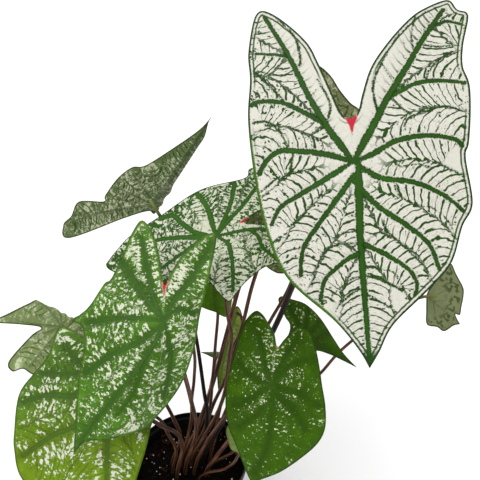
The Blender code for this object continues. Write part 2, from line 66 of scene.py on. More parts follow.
# Pot, potting mix, tuber, shoot and stalks, as in the CAD model
POT_RADIUS = 63.0
POT_HEIGHT = 109.0
POT_BASE_RADIUS = 46.0
POT_WALL = 1.3
POT_FLOOR = 2.4
POT_LIP_HEIGHT = 8.0
POT_LIP_STEP = 2.2
DRAIN_HOLES = 6
DRAIN_RADIUS = 4.0
DRAIN_CIRCLE = 33.0
SEAT_GAP = 0.35
SOIL_TOP = 92.0
SOIL_BUMP = 0.9
TUBER_RADIUS = 30.0
TUBER_HALF_HEIGHT = 13.0
TUBER_CENTRE = 66.0
SHOOT_FOOT = (-5.0, 30.0)
SHOOT_WIDTH = 3.4
SHOOT_HEIGHT = 14.0
SHOOT_DEPTH = 10.0
BLADE_THICKNESS = 0.7
STALK_GAP = 0.4
STALK_LEAD = 9.0
STALK_COLLAR = 3.0
STALK_TAPER = 0.8

# Fineness of what is shown
MARGIN_SPACING = 1.6
MESH_SPACING = 1.35
TUBE_SIDES = 14
POT_SIDES = 120
POT_ROUNDING = 0.6
SOIL_SIDES = 150
SOIL_RINGS = 44
STALK_STEPS = 9
SHOOT_STEPS = 8
GRAIN_SEED = 7  # with the next one the grains of the mix lie elsewhere

# Relief of the blades: how high the fields rise between the veins, the ripple that crosses
# them, and the ribs below
FIELD_RISE = {"white": 0.9}
USUAL_RISE = 1.3
RISE_REACH = 4.5
RIPPLE = 0.10
RIPPLE_SPACING = 5.0
RIB_HEIGHT = 0.8

# Floor, and light: strengths chosen so that the floor comes out white
FLOOR_RADIUS = 15.0
WORLD_STRENGTH = 0.80
SUN_STRENGTH = 1.5
SUN_ANGLE = 50.0
KEY_POWER = 8.0
KEY_SIZE = 1.6
LEAF_GAIN = 0.72  # from a colour as seen to the colour of a leaf in this light

# The leaves of the CAD model: see part.py for what each number means. Each has one row:
LEAF_FIELDS = (
    "look", "junction", "tip_dir", "face_dir", "cup", "droop", "wave", "folds", "tip",
    "stalk_width", "stalk_foot", "stalk", "outline",
)
LEAF_ROWS = {
    "01": (
        "white", (130, -66, 473), (0.07, -0.51, -0.86), (-0.1, -0.86, 0.51), 0.0018,
        (0.0022, 0.0026), (2.5, 5, 0.5, 100), [], 21, 5.6, (10.3, -3.8),
        [(76, -6, 260), (91, -16, 311), (100, -26, 351), (120, -54, 434)],
        [(1, 29), (6, 34), (10, 46), (17, 63), (28, 78), (43, 94), (57, 105), (77, 113),
         (83, 105), (90, 100), (82, 76), (79, 60), (81, 44), (76, 8), (73, -3), (76, -33),
         (68, -48), (59, -71), (44, -87), (20, -110), (10, -129), (3, -141), (-4, -127),
         (-19, -106), (-48, -76), (-60, -46), (-66, -9), (-68, 34), (-65, 65), (-65, 88),
         (-58, 118), (-46, 116), (-25, 90), (-17, 70), (-11, 51), (-5, 33)],
    ),
    "02": (
        "white", (35, -18, 393), (-0.97, -0.09, -0.22), (-0.15, -0.51, 0.85), 0.001,
        (0.003, 0.003), (2, 4, 1, 80), [(38, -9, -75, 62, 4)], 12, 4.2, (0, 0),
        [(37, -3, 195), (45, -6, 257), (47, -7, 279), (44, -8, 305), (41, -10, 345)],
        [(-8, 26), (-2, 36), (8, 68), (33, 53), (38, 33), (49, 16), (62, 2), (50, -7),
         (41, -13), (36, -37), (22, -68), (2, -93), (-6, -97), (-15, -88), (-27, -72),
         (-36, -44), (-50, -5), (-54, 34), (-65, 43), (-63, 77), (-36, 80), (-19, 49)],
    ),
    "03": (
        "flecked", (2, -100, 368), (-0.55, -0.53, -0.65), (-0.04, -0.76, 0.65), 0.001,
        (0.002, 0.003), (2.5, 5, 2, 80), [(4, 0, -90, 52, 12)], 14, 4.6, (-5.5, -9.5),
        [(11, -22, 174), (9, -32, 222), (6, -56, 286), (4, -84, 338)],
        [(-15, 21), (-16, 30), (-17, 46), (-14, 61), (-11, 70), (-5, 72), (7, 47), (20, 19),
         (35, -5), (44, -34), (40, -64), (33, -75), (13, -87), (0, -97), (-2, -109), (-13, -92),
         (-30, -64), (-38, -45), (-47, -35), (-55, -36), (-53, -29), (-51, -20), (-52, -2),
         (-50, 4), (-54, 25), (-57, 38), (-57, 51), (-45, 48), (-32, 38)],
    ),
    "04": (
        "flecked", (-54, -87, 307), (0.14, -0.72, -0.68), (0.07, -0.68, 0.73), 0.003,
        (0.003, 0.002), (2.5, 4, 0.3, 80), [], 7, 4.4, (-13.5, -16.1),
        [(-6, -24, 166), (-23, -34, 194), (-44, -56, 243)],
        [(2, 22), (25, 28), (40, 18), (49, -14), (37, -40), (29, -62), (14, -92), (-6, -114),
         (-41, -88), (-63, -67), (-67, -45), (-66, -31), (-62, -6), (-51, 8), (-39, 21),
         (-28, 42)],
    ),
    "05": (
        "olive", (-118, 11, 279), (0.72, 0.16, -0.67), (-0.48, 0.82, -0.32), 0, (0.002, 0.002),
        (2, 4, 0, 60), [(-3, 0, 91, -140, 6)], 8, 4, (-21, 0.7),
        [(-10, 3, 136), (-16, 4, 162), (-24, 3, 189), (-48, 5, 254), (-75, 11, 286),
         (-98, 9, 291)],
        [(10, 16), (21, 20), (50, 24), (57, 16), (51, 9), (52, -2), (50, -30), (30, -55),
         (0, -85), (-30, -48), (-33, -10), (-27, 13), (-20, 26), (-4, 39), (17, 54), (27, 66),
         (15, 34)],
    ),
    "06": (
        "olive", (-38, 112, 362), (0.53, 0.49, 0.69), (-0.12, 0.85, -0.51), 0, (0.001, 0.002),
        (2, 5, 1.5, 70), [(-0.5, 0, -90, -145, 6)], 6, 4.4, (9.3, 5.8),
        [(20, 9, 164), (17, 17, 185), (9, 46, 228), (0, 70, 268), (-11, 90, 319)],
        [(1.5, 7), (15, 7), (34, -2), (40, -25), (25, -60), (4, -100), (1, -114), (-2, -96),
         (-13, -67), (-29, -32), (-40, -22), (-46, -4), (-47, 19), (-45, 25), (-66, 39),
         (-64, 56), (-65, 68), (-52, 76), (-17, 28)],
    ),
    "07": (
        "dark", (79, -79, 290), (-0.21, -0.6, -0.77), (-0.15, -0.76, 0.63), 0.002, (0.004, 0.004),
        (1.5, 5, 0.8, 60), [(-2, 0, 90, 18, 15), (2, 0, -90, 18, 15)], 14, 4.6, (17, -12.3),
        [(28, -20, 128), (46, -32, 174), (66, -58, 241)],
        [(0, 30), (4, 36), (9, 44), (15, 50), (25, 46), (32, 35), (38, 21), (43, 7), (49, -9),
         (52, -26), (48, -39), (37, -52), (22, -66), (8, -75), (0, -80), (-5, -74), (-18, -56),
         (-29, -41), (-36, -22), (-38, -3), (-36, 25), (-34, 44), (-27, 55), (-20, 54),
         (-13, 48), (-5, 40)],
    ),
    "08": (
        "dark", (114, -10, 281), (0.88, -0.11, -0.47), (0.34, -0.56, 0.76), 0.004, (0.004, 0.004),
        (1.5, 3, 0, 60), [], 9, 4, (4.1, -10.2),
        [(37, -17, 181), (76, -22, 234), (104, -16, 266)],
        [(4, 15), (12, 23), (25, 34), (31, 31), (32, 22), (34, 7), (28, -11), (15, -30),
         (6, -45), (1, -62), (-0.5, -44), (-2, -29), (-6, -15), (-20, -4), (-21, 13)],
    ),
    "09": (
        "olive", (239, 24, 303), (0.44, -0.54, -0.72), (-0.26, 0.69, -0.68), 0.006,
        (0.006, 0.004), (1.5, 5, 0, 30), [], 7, 3.4, (20.5, -4.4),
        [(47, -2, 117), (92, 4, 167), (135, 10, 216), (158, 14, 248), (196, 16, 285),
         (223, 15, 308)],
        [(0, 5), (6, -2), (11, -9), (18, -20), (10, -27), (7, -33), (-5, -33), (-13, -35),
         (-14, -30), (-16, -25), (-20, -28), (-26, -21), (-32, -13), (-36, -6), (-39, 9),
         (-39, 19), (-32, 18), (-13, 11)],
    ),
    "10": (
        "olive", (51, 66, 255), (-0.18, -0.06, -0.98), (-0.56, 0.83, 0.05), 0.003, (0.003, 0),
        (1, 3, 0, 40), [], 5, 3.4, (5.4, 20.3),
        [(18, 26, 103), (35, 40, 152), (47, 52, 215)],
        [(0, 8), (6, 1), (8, -22), (11, -47), (15, -72), (13, -94), (-2, -77), (-6, -53),
         (-11, -32), (-9, -7)],
    ),
    "11": (
        "dark", (29, 15, 349), (-0.29, -0.62, -0.73), (0.58, -0.72, 0.38), 0.004, (0.004, 0.004),
        (1.5, 4, 0, 40), [], 5, 3.6, (1.1, 10.9),
        [(19, 16, 146), (27, 19, 213), (30, 23, 247), (33, 28, 282), (33, 30, 314)],
        [(2, 17), (16, 27), (29, 10), (36, -16), (40, -41), (22, -42), (8, -42), (-7, -39),
         (-24, -21), (-25, 4), (-13, 16)],
    ),
    "12": (
        "olive", (114, 26, 476), (-0.2, 0.24, -0.95), (-0.15, 0.95, 0.27), 0.003, (0.003, 0.003),
        (1.5, 4, 1, 60), [], 6, 3.6, (20.5, 4.4),
        [(55, 7, 216), (83, 8, 285), (102, 10, 329), (115, 16, 390)],
        [(8, 22), (23, 34), (36, 40), (39, 15), (32, -16), (14, -38), (-6, -52), (-18, -40),
         (-30, -22), (-36, -2), (-36, 14), (-26, 20), (-14, 29), (-2, 40), (11, 47), (10, 37)],
    ),
    "13": (
        "olive", (95, 52, 371), (-0.16, -0.08, -0.98), (-0.1, 0.99, -0.06), 0.004, (0.004, 0.004),
        (1.5, 4, 2, 50), [], 7, 4.4, (13.5, 16.1),
        [(20, 32, 135), (41, 34, 195), (57, 33, 261), (70, 33, 323), (80, 36, 351)],
        [(6, 22), (20, 31), (34, 24), (40, 6), (35, -14), (22, -31), (7, -47), (-5, -53),
         (-15, -50), (-24, -31), (-31, -6), (-21, 21), (-5, 32)],
    ),
    "14": (
        "flecked", (60, -76, 221), (-0.61, 0.14, -0.78), (0.01, -0.98, -0.18), 0.008,
        (0.006, 0.006), (1, 3, 0, 25), [], 2, 3, (10.5, -18.2),
        [(40, -32, 129), (53, -52, 172)],
        [(-3, 13), (18, -11), (26, -32), (7, -22), (-1, -20), (-11, -11), (-20, -2), (-24, 7),
         (-19, 16)],
    ),
    "15": (
        "dark", (29, 66, 196), (-0.95, -0.11, 0.29), (0.24, 0.37, 0.9), 0.01, (0, 0),
        (0.5, 3, 0, 20), [], 5, 3, (-3.6, 20.7),
        [(13, 34, 127), (23, 48, 175)],
        [(-8, 6), (2, 5), (9, 1), (9, -6), (4, -13), (1, -19), (-6, -8), (-13, 2)],
    ),
    "16": (
        "flecked", (99, 80, 379), (0.54, -0.16, -0.83), (0.04, -0.98, 0.22), 0.003,
        (0.003, 0.003), (2, 4, 0, 70), [], 6, 5.4, (-7.9, 7.6),
        [(8, 22, 131), (26, 38, 184), (42, 50, 244), (54, 64, 289), (68, 80, 325)],
        [(-4, 18), (19, 20), (27, 3), (31, -24), (24, -57), (7, -95), (-16, -121), (-30, -85),
         (-38, -46), (-45, -15), (-45, 5), (-37, 19), (-20, 28), (-11, 29)],
    ),
    "17": (
        "flecked", (-9, -22, 332), (-0.6, -0.46, -0.66), (0.2, -0.88, 0.43), 0.003,
        (0.003, 0.003), (2, 4, 1, 60), [], 7, 3.6, (-10.9, -1.5),
        [(3, 4, 159), (5, 2, 190), (9, -1, 222), (11, -5, 261), (5, -12, 301)],
        [(0, 15), (2, 30), (9, 32), (19, 22), (28, 1), (30, -22), (26, -49), (14, -75),
         (-5, -58), (-17, -36), (-22, -16), (-21, 2), (-13, 8)],
    ),
    "18": (
        "flecked", (-77, -52, 245), (-0.49, -0.58, -0.65), (0.27, -0.81, 0.52), 0.003,
        (0.003, 0.003), (2, 4, 2, 60), [], 7, 3.6, (-19.2, -8.5),
        [(-13, -12, 132), (-19, -16, 161), (-27, -20, 188)],
        [(3, 10), (9, 20), (20, 18), (30, 5), (32, -14), (28, -36), (20, -55), (5, -72),
         (-9, -55), (-19, -37), (-23, -17), (-21, 1), (-11, 10)],
    ),
}
LEAVES = {number: dict(zip(LEAF_FIELDS, row)) for number, row in LEAF_ROWS.items()}

# Veins drawn on the leaves that show best: width where a vein starts and where it
# ends, and its points in the flat leaf. The other leaves get theirs from usual_veins.
VEINS = {
    "01": [
        (6.4, 3.4, [(3, -1), (1, -52), (2, -101), (3, -132)]),
        (5.4, 3.2, [(0, 0), (-14, 23), (-26, 49), (-37, 80), (-48, 106), (-52, 115)]),
        (5.8, 3.6, [(0, 0), (13, 20), (26, 41), (41, 62), (57, 85), (73, 105)]),
        (4.6, 3.8, [(0, 0), (-19, 7), (-39, 11), (-47, 12), (-54, 9), (-59, 4), (-63, -2)]),
        (4.6, 3.2, [(0, 0), (13, 4), (31, 12), (52, 13), (68, 9), (71, 5)]),
        (4.6, 3, [(0, 0), (-21, -11), (-41, -21), (-49, -25), (-54, -31), (-57, -37)]),
        (4.6, 3, [(0, 0), (10, -8), (19, -13), (39, -17), (58, -27), (70, -38)]),
        (4.4, 3, [(0, -9), (-16, -28), (-30, -45), (-36, -53), (-39, -62), (-40, -73)]),
        (4.6, 3, [(0, -13), (13, -30), (33, -46), (45, -58), (50, -72), (51, -75)]),
        (3.6, 3, [(0, -61), (-8, -64), (-20, -73), (-25, -79), (-28, -91)]),
        (4, 2.6, [(3, -55), (17, -63), (31, -74), (36, -84), (34, -91)]),
        (3.8, 3.6, [(-16, 27), (-30, 37), (-45, 46), (-60, 48), (-65, 46)]),
        (2.8, 2.4, [(-36, 79), (-44, 82), (-60, 86)]),
        (3.8, 3, [(30, 43), (46, 50), (63, 51), (78, 48)]),
        (3, 2.4, [(66, 93), (74, 96), (85, 93)]),
        (1.8, 1.2, [(1, -84), (-6, -87), (-16, -95), (-18, -99)]),
        (2.4, 2, [(3, -76), (10, -78), (26, -87)]),
        (1.4, 1, [(1, -77), (-5, -77), (-12, -81), (-20, -88)]),
        (1.5, 1, [(4, -89), (10, -93), (22, -102)]),
        (1.3, 1, [(3, -70), (12, -72), (21, -75), (27, -86), (30, -94)]),
        (1.8, 1.4, [(55, 78), (63, 76), (79, 76)]),
        (2, 1.5, [(-14, 31), (-12, 38), (-13, 45), (-19, 59)]),
        (2.2, 1.2, [(-30, 72), (-29, 77), (-32, 94), (-44, 113)]),
        (2.2, 1.2, [(19, 31), (17, 49), (24, 65), (39, 86), (61, 104)]),
        (1.2, 1, [(25, 65), (28, 58), (32, 52)]),
        (1.8, 1.2, [(48, 75), (47, 84), (52, 100)]),
        (1.8, 1.3, [(35, 18), (37, 25), (48, 29), (63, 32), (75, 27)]),
        (1.8, 1.2, [(53, 52), (57, 60), (67, 68), (75, 70)]),
        (1.4, 1.1, [(26, -2), (30, -6), (42, -5), (48, -8), (52, -5), (64, -11), (71, -16)]),
        (1.4, 1.1, [(26, -16), (27, -24), (39, -32), (48, -34), (58, -43), (63, -56)]),
        (1.5, 1.1, [(16, -40), (18, -47), (30, -60), (40, -71), (45, -79)]),
        (2.2, 1.4, [(-64, 33), (-56, 33), (-50, 29), (-46, 23), (-42, 13)]),
        (1.5, 1.2, [(-40, 27), (-28, 20), (-26, 15)]),
        (2.2, 1.8, [(-62, 71), (-55, 63), (-43, 47)]),
        (1.6, 1.2, [(-59, 71), (-43, 65), (-33, 70)]),
        (1.8, 1.4, [(-62, -14), (-50, -6), (-46, -8), (-42, -4), (-31, -4), (-25, -12)]),
        (2, 1.6, [(-42, -4), (-39, 10)]),
        (1.6, 1.2, [(-47, -40), (-37, -35), (-29, -24), (-22, -20), (-22, -15)]),
        (1.6, 1.2, [(-1, -54), (-18, -55), (-25, -63), (-31, -74), (-33, -81)]),
        (1.5, 1.2, [(-2, -46), (-12, -47), (-17, -50)]),
    ],
    "02": [
        (6, 3, [(1, 0), (-3, -15), (-8, -32), (-12, -49), (-13, -68), (-8, -90)]),
        (5, 3, [(1, 0), (1, -11), (6, -24), (16, -48)]),
        (5, 5, [(1, 0), (-8, -16), (-21, -26), (-32, -33), (-33, -44)]),
        (5, 5, [(1, 0), (-16, -1), (-33, -3), (-47, -9)]),
        (4.5, 4, [(1, 0), (-16, 11), (-32, 19), (-50, 25)]),
        (5, 3, [(1, 0), (-11, 12), (-25, 28), (-45, 46), (-55, 62)]),
        (4, 3, [(1, 0), (1, 18), (2, 33), (10, 58)]),
        (4, 3, [(2, 29), (10, 34), (20, 35), (34, 45)]),
        (4.5, 3, [(1, 0), (9, 8), (24, 9), (35, 8), (54, 6)]),
        (3, 2.6, [(1, 0), (12, -5), (24, -14), (34, -26)]),
    ],
    "03": [
        (4.1, 2.5, [(0, 0), (3, -17), (2, -49), (-2, -81), (-3, -100)]),
        (4.1, 2.9, [(0, 0), (-13, 7), (-23, 15), (-33, 25), (-49, 40)]),
        (4.1, 3.3, [(-6, 2), (-19, 5), (-33, 11), (-50, 18)]),
        (3.7, 2.5, [(0, 0), (-3, 14), (-2, 37), (-5, 66)]),
        (3.7, 3.3, [(0, 0), (-14, -7), (-26, -14), (-36, -22), (-45, -31)]),
        (3.7, 3.3, [(0, 0), (-4, -14), (-10, -27), (-18, -39), (-27, -60)]),
        (2.9, 2.5, [(3, -13), (5, -31), (10, -51), (9, -70)]),
        (3.3, 2.5, [(0, 0), (1, 8), (6, 14), (16, 16)]),
        (3.3, 2.5, [(0, 0), (11, -10), (23, -20), (36, -45)]),
    ],
    "04": [
        (4.5, 3.5, [(-1, -2), (-19, -13), (-38, -10), (-59, -12)]),
        (5, 3.5, [(0, -25), (-23, -36), (-37, -39), (-61, -51)]),
        (5, 3, [(0, 0), (3, -26), (2, -51), (-1, -79), (-6, -108)]),
        (3.5, 2.5, [(0, 0), (-13, 3), (-29, 5), (-45, 7)]),
        (3.5, 2.5, [(0, 0), (-17, 13), (-25, 26)]),
        (4, 3, [(0, 0), (12, 12), (24, 22)]),
        (4.5, 3, [(0, -3), (20, -8), (42, -16)]),
        (4.5, 3, [(1, -24), (18, -36), (32, -45)]),
    ],
    "07": [
        (3.2, 2, [(2, 0), (5, -14), (8, -46), (1, -71)]),
        (3.2, 2, [(2, 0), (-7, 12), (-13, 26), (-21, 38)]),
        (3.2, 2, [(2, 0), (7, 17), (11, 30), (16, 42)]),
        (3.2, 2, [(2, 0), (10, 14), (19, 21), (32, 26)]),
        (3.2, 2, [(2, 0), (17, -2), (29, -3), (43, -9)]),
        (3.2, 2, [(4, -6), (17, -12), (27, -18), (36, -32)]),
        (3.2, 2, [(2, 0), (-8, -10), (-17, -17), (-28, -24)]),
        (2.8, 2, [(2, 0), (-13, 1), (-26, 6), (-32, 12)]),
        (2.8, 2, [(5, -11), (-4, -24), (-14, -34), (-20, -40)]),
    ],
}

# How each leaf is marked. "white" is the share of white in the middle of the fields between
# veins, and "rim" the share near the margin. "tip" adds to both towards the tip, "right"
# towards the right, "core" near the stalk and "inner" along the notch. "patch" is how much
# the flecks gather in patches. "net" is the strength of the cross veins and "dots" of the
# green dots. "grain" is the size of the flecks in millimetres, and "pink" the width and
# length of the mark below the notch.
MARK_FIELDS = (
    "white", "rim", "tip", "right", "core", "inner", "patch", "net", "dots", "grain", "pink",
)
MARK_ROWS = {
    "01": (1, 0.86, 0.04, 0.12, 0, 0.3, 0.1, 1, 0.4, 2, (6.6, 17)),
    "02": (0.6, 0.52, -0.1, 0.08, 0.1, 0.1, 0.4, 0.9, 1, 1.6, (4, 8)),
    "03": (0.38, 0.34, -0.06, 0.02, 0.06, 0.14, 0.3, 0.75, 0, 1.55, (3, 13)),
    "04": (0.32, 0.27, -0.02, 0, 0.1, 0.1, 0.6, 0.95, 0, 1.75, (3, 8)),
    "05": (0.3, 0.25, 0, 0, 0, 0, 0.4, 0.65, 0.3, 1.8, (2, 5)),
    "06": (0.5, 0.4, -0.3, 0, 0, 0, 0.4, 1, 0.8, 1.7, (0, 0)),
    "07": (0.03, 0, 0.03, 0.04, 0.24, 0.16, 0.2, 0, 0, 1.35, (1.2, 3)),
    "08": (0.1, 0.06, -0.3, 0, 0.1, 0.2, 0.35, 0, 0, 1.6, (0, 0)),
    "09": (0.06, 0, 0, 0, 0, 0, 0.2, 0.9, 0, 1.4, (0, 0)),
    "10": (0.2, 0.05, 0, 0, 0, 0, 0.3, 0.7, 0, 2, (0, 0)),
    "11": (-0.2, -0.2, 0, 0, 0, 0, 0, 0, 0, 2.4, (0, 0)),
    "12": (0.3, 0.2, 0, 0, 0, 0, 0.3, 0.8, 0, 2.4, (0, 0)),
    "13": (0.32, 0.15, 0, 0, 0, 0, 0.3, 0.8, 0, 2.4, (0, 0)),
    "14": (0.4, 0.3, 0, 0, 0, 0, 0.3, 0.4, 0.2, 2, (0, 0)),
    "15": (0, -0.1, 0, 0, 0, 0, 0, 0, 0, 2, (0, 0)),
    "16": (0.35, 0.15, -0.1, 0, 0.2, 0.4, 0.6, 0.4, 0.2, 2, (3, 5)),
    "17": (0.35, 0.15, 0, 0, 0.2, 0.3, 0.6, 0.2, 0, 2, (3, 6)),
    "18": (0.35, 0.15, 0, 0, 0.2, 0.3, 0.6, 0.2, 0, 2, (3, 6)),
}
MARKS = {number: dict(zip(MARK_FIELDS, row)) for number, row in MARK_ROWS.items()}

# Colours as seen, in sRGB
LEAF_WHITE = (0.93, 0.928, 0.865)
DULL_WHITE = (0.90, 0.89, 0.84)
FLECK_WHITE = (0.905, 0.925, 0.81)
LEAF_PINK = (0.80, 0.14, 0.24)
VEIN_PINK = (0.86, 0.66, 0.60)
UPPER_GREENS = {
    "01": (0.155, 0.33, 0.02),
    "02": (0.20, 0.39, 0.05),
    "03": (0.27, 0.45, 0.04),
    "04": (0.29, 0.45, 0.02),
    # Leaf 11 is drawn lighter: painted light shining through it.
    "11": (0.33, 0.51, 0.0),
    "14": (0.42, 0.50, 0.16),
}
UPPER_GREEN = (0.225, 0.37, 0.0)
# Painted light: leaf 04 is lighter and yellower towards its tip, where light shines through it.
BACKLIT_TIP = (0.42, 0.545, 0.0)  # leaf 04 towards its tip
LIT_EDGE = (0.33, 0.54, 0.10)  # leaf 01 along its left margin
HALO_GREEN = (0.47, 0.62, 0.26)
VEIN_DARK = (0.13, 0.29, 0.05)
# Painted sheen: the lighter middle of the veins
VEIN_SHEEN = (0.33, 0.46, 0.20)
# Underside: veins, the fields between them and the paler spots
UNDERS = {
    "05": ((0.35, 0.44, 0.20), (0.60, 0.68, 0.43), (0.88, 0.91, 0.76)),
    "06": ((0.17, 0.26, 0.09), (0.37, 0.45, 0.25), (0.74, 0.76, 0.63)),
    "09": ((0.25, 0.31, 0.15), (0.51, 0.54, 0.38), (0.70, 0.71, 0.56)),
    "10": ((0.33, 0.44, 0.08), (0.52, 0.62, 0.20), (0.72, 0.79, 0.40)),
    "12": ((0.28, 0.34, 0.12), (0.58, 0.62, 0.42), (0.86, 0.86, 0.70)),
}
UNDER = ((0.22, 0.29, 0.10), (0.44, 0.50, 0.27), (0.74, 0.76, 0.60))
UNDER_RIM = (0.17, 0.23, 0.08)
# The light brown of the stalk streaks is partly painted highlight, the dark brown partly painted
# shade.
STALK_BROWN = ((0.14, 0.06, 0.035), (0.47, 0.32, 0.23))
# Painted shade: stalk browns drawn almost black, for stalks that stand in shade
SHADED_STALK_BROWNS = ((0.04, 0.025, 0.02), (0.16, 0.11, 0.09))
STALK_GREEN = (0.42, 0.48, 0.22)
# Materials of the stalks: name, the two browns, and the colour just below the blade
STALKS = {
    "brown": ("Stalk", *STALK_BROWN, (0.26, 0.22, 0.12)),
    "dark": ("Dark stalk", *SHADED_STALK_BROWNS, (0.10, 0.07, 0.05)),
    "green": ("Stalk that turns green", *STALK_BROWN, STALK_GREEN),
    "two": ("Dark stalk that turns green", *SHADED_STALK_BROWNS, STALK_GREEN),
}
# The "dark" and "two" stalks are brown stalks in painted shade.
STALK_KINDS = {"01": "dark", "06": "two", "05": "green", "09": "green"}
# Loose grains on the mix: piece, number, least and greatest size, shape, and material with
# its name, dark and light colour, grain per millimetre and roughness
GRAINS = (
    ("mix_crumbs", 620, (0.7, 2.0), (1.0, 0.9, 0.7),
     ("Crumbs", (0.02, 0.014, 0.01), (0.10, 0.065, 0.045), 1.2, 0.9)),
    ("mix_bark", 110, (1.3, 3.4), (1.0, 0.45, 0.22),
     ("Bark chips", (0.06, 0.03, 0.02), (0.24, 0.13, 0.08), 0.8, 0.8)),
    ("mix_perlite", 80, (0.4, 1.05), (1.0, 0.9, 0.8),
     ("Perlite", (0.78, 0.77, 0.74), (0.93, 0.92, 0.90), 1.5, 0.85)),
)


# ---------------------------------------------------------------- shared small helpers


def linear(channel):
    return channel / 12.92 if channel <= 0.04045 else ((channel + 0.055) / 1.055) ** 2.4


def colour(srgb, gain=1.0):
    return [linear(channel) * gain for channel in srgb] + [1.0]


def add_object(name, data):
    obj = bpy.data.objects.new(name, data)
    bpy.context.scene.collection.objects.link(obj)
    return obj


def add_piece(name, mesh, materials, nodes):
    """A visible piece of the plant, hung on the root body: it stands for the CAD nodes that it
    hides.
    """
    obj = add_object(name, mesh)
    for material in materials:
        mesh.materials.append(material)
    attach(obj, "root")
    if nodes:
        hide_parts(*nodes)
    return obj


def make_mesh(name, points, faces, material_index=None):
    """A smooth-shaded mesh from points in millimetres."""
    mesh = bpy.data.meshes.new(name)
    mesh.from_pydata((np.asarray(points) * MM).tolist(), [], faces)
    mesh.polygons.foreach_set("use_smooth", [True] * len(mesh.polygons))
    if material_index is not None:
        mesh.polygons.foreach_set("material_index", material_index)
    mesh.set_sharp_from_angle(angle=radians(50))
    mesh.update()
    return mesh


def put_attribute(mesh, name, *values):
    """A vector for each vertex, which the materials read by name."""
    layer = mesh.attributes.new(name, "FLOAT_VECTOR", "POINT")
    stacked = np.stack(values, axis=1).astype(np.float32)
    layer.data.foreach_set("vector", np.ascontiguousarray(stacked).ravel())


def smoothstep(low, high, value):
    share = np.clip((value - low) / (high - low), 0.0, 1.0)
    return share * share * (3.0 - 2.0 * share)


# ---------------------------------------------------------------- shape of a leaf


def leaf_axes(leaf):
    """Columns x, y, z of the leaf's own frame, as in the CAD model."""
    y_axis = -Vector(leaf["tip_dir"]).normalized()
    face = Vector(leaf["face_dir"])
    z_axis = (face - face.dot(y_axis) * y_axis).normalized()
    return np.array((y_axis.cross(z_axis), y_axis, z_axis))


def fold_shift(x, y, fold):
    """How far a fold moves points of the flat leaf: (x, y, z)."""
    px, py, direction, bend, radius = fold
    across = (-sin(radians(direction)), cos(radians(direction)))
    beyond = np.maximum((x - px) * across[0] + (y - py) * across[1], 0.0)
    turned = np.minimum(beyond / radius, radians(abs(bend)))
    straight = beyond - radius * turned
    along = radius * np.sin(turned) + straight * np.cos(turned)
    fall = radius * (1.0 - np.cos(turned)) + straight * np.sin(turned)
    shift = along - beyond
    return across[0] * shift, across[1] * shift, -fall if bend > 0 else fall


def leaf_surface(leaf, x, y):
    """Points of the shaped upper side for points of the flat leaf."""
    tip_droop, lobe_droop = leaf["droop"]
    droop = np.where(y < 0, tip_droop, lobe_droop)
    z = -(leaf["cup"] * x * x + droop * y * y) / 2
    height, number, phase, at_radius = leaf["wave"]
    share = np.minimum((x * x + y * y) / at_radius**2, 1.5)
    z = z + height * share * np.sin(number * np.arctan2(y, x) + phase)
    shaped = np.stack((x, y, z), axis=1)
    for fold in leaf["folds"]:
        shaped += np.stack(fold_shift(x, y, fold), axis=1)
    return shaped


def leaf_normals(leaf, x, y, reach=0.4):
    ahead = leaf_surface(leaf, x + reach, y) - leaf_surface(leaf, x - reach, y)
    aside = leaf_surface(leaf, x, y + reach) - leaf_surface(leaf, x, y - reach)
    normal = np.cross(ahead, aside)
    return normal / np.linalg.norm(normal, axis=1)[:, None]


def curve_points(points, closed, spacing, sharp=None):
    """A Catmull-Rom curve through points, with steps of about that spacing. The point
    with the index "sharp" keeps its corner."""
    points = [np.array(point, dtype=float) for point in points]
    count = len(points)
    result = []
    for index in range(count if closed else count - 1):
        start = points[index]
        end = points[(index + 1) % count]
        before = points[index - 1] if closed or index > 0 else start
        after = points[(index + 2) % count] if closed or index + 2 < count else end
        if index == sharp:
            before = start
        if (index + 1) % count == sharp:
            after = end
        steps = max(2, round(float(np.linalg.norm(end - start)) / spacing))
        for step in range(steps):
            t = step / steps
            linear_part = 2 * start + (end - before) * t
            square = (2 * before - 5 * start + 4 * end - after) * t**2
            cube = (3 * start - before - 3 * end + after) * t**3
            result.append((linear_part + square + cube) / 2)
    if not closed:
        result.append(points[-1])
    return np.array(result)


def leaf_margin(leaf):
    return curve_points(leaf["outline"], True, MARGIN_SPACING, leaf["tip"])


def nearest_on(points, starts, ends):
    """For each point its nearest place on a chain of straight pieces: the distance, the
    index of the piece, the share along that piece, and the side it lies on."""
    count = len(points)
    best = np.full(count, 1e9)
    piece = np.zeros(count, dtype=int)
    share, side = np.zeros(count), np.zeros(count)
    for index, (start, end) in enumerate(zip(starts, ends)):
        way = end - start
        length2 = max(float(way @ way), 1e-9)
        offset = points - start
        t = np.clip(offset @ way / length2, 0.0, 1.0)
        gap = offset - t[:, None] * way
        distance = np.hypot(gap[:, 0], gap[:, 1])
        closer = distance < best
        best[closer] = distance[closer]
        piece[closer] = index
        share[closer] = t[closer]
        side[closer] = np.sign(way[0] * offset[:, 1] - way[1] * offset[:, 0])[closer]
    return best, piece, share, side


def inside_outline(points, outline):
    """True for the points within a closed outline."""
    inside = np.zeros(len(points), dtype=bool)
    for start, end in zip(outline, np.roll(outline, -1, axis=0)):
        if start[1] == end[1]:
            continue
        spans = (start[1] > points[:, 1]) != (end[1] > points[:, 1])
        at_x = start[0] + (points[:, 1] - start[1]) * (end[0] - start[0]) / (end[1] - start[1])
        inside ^= spans & (points[:, 0] < at_x)
    return inside


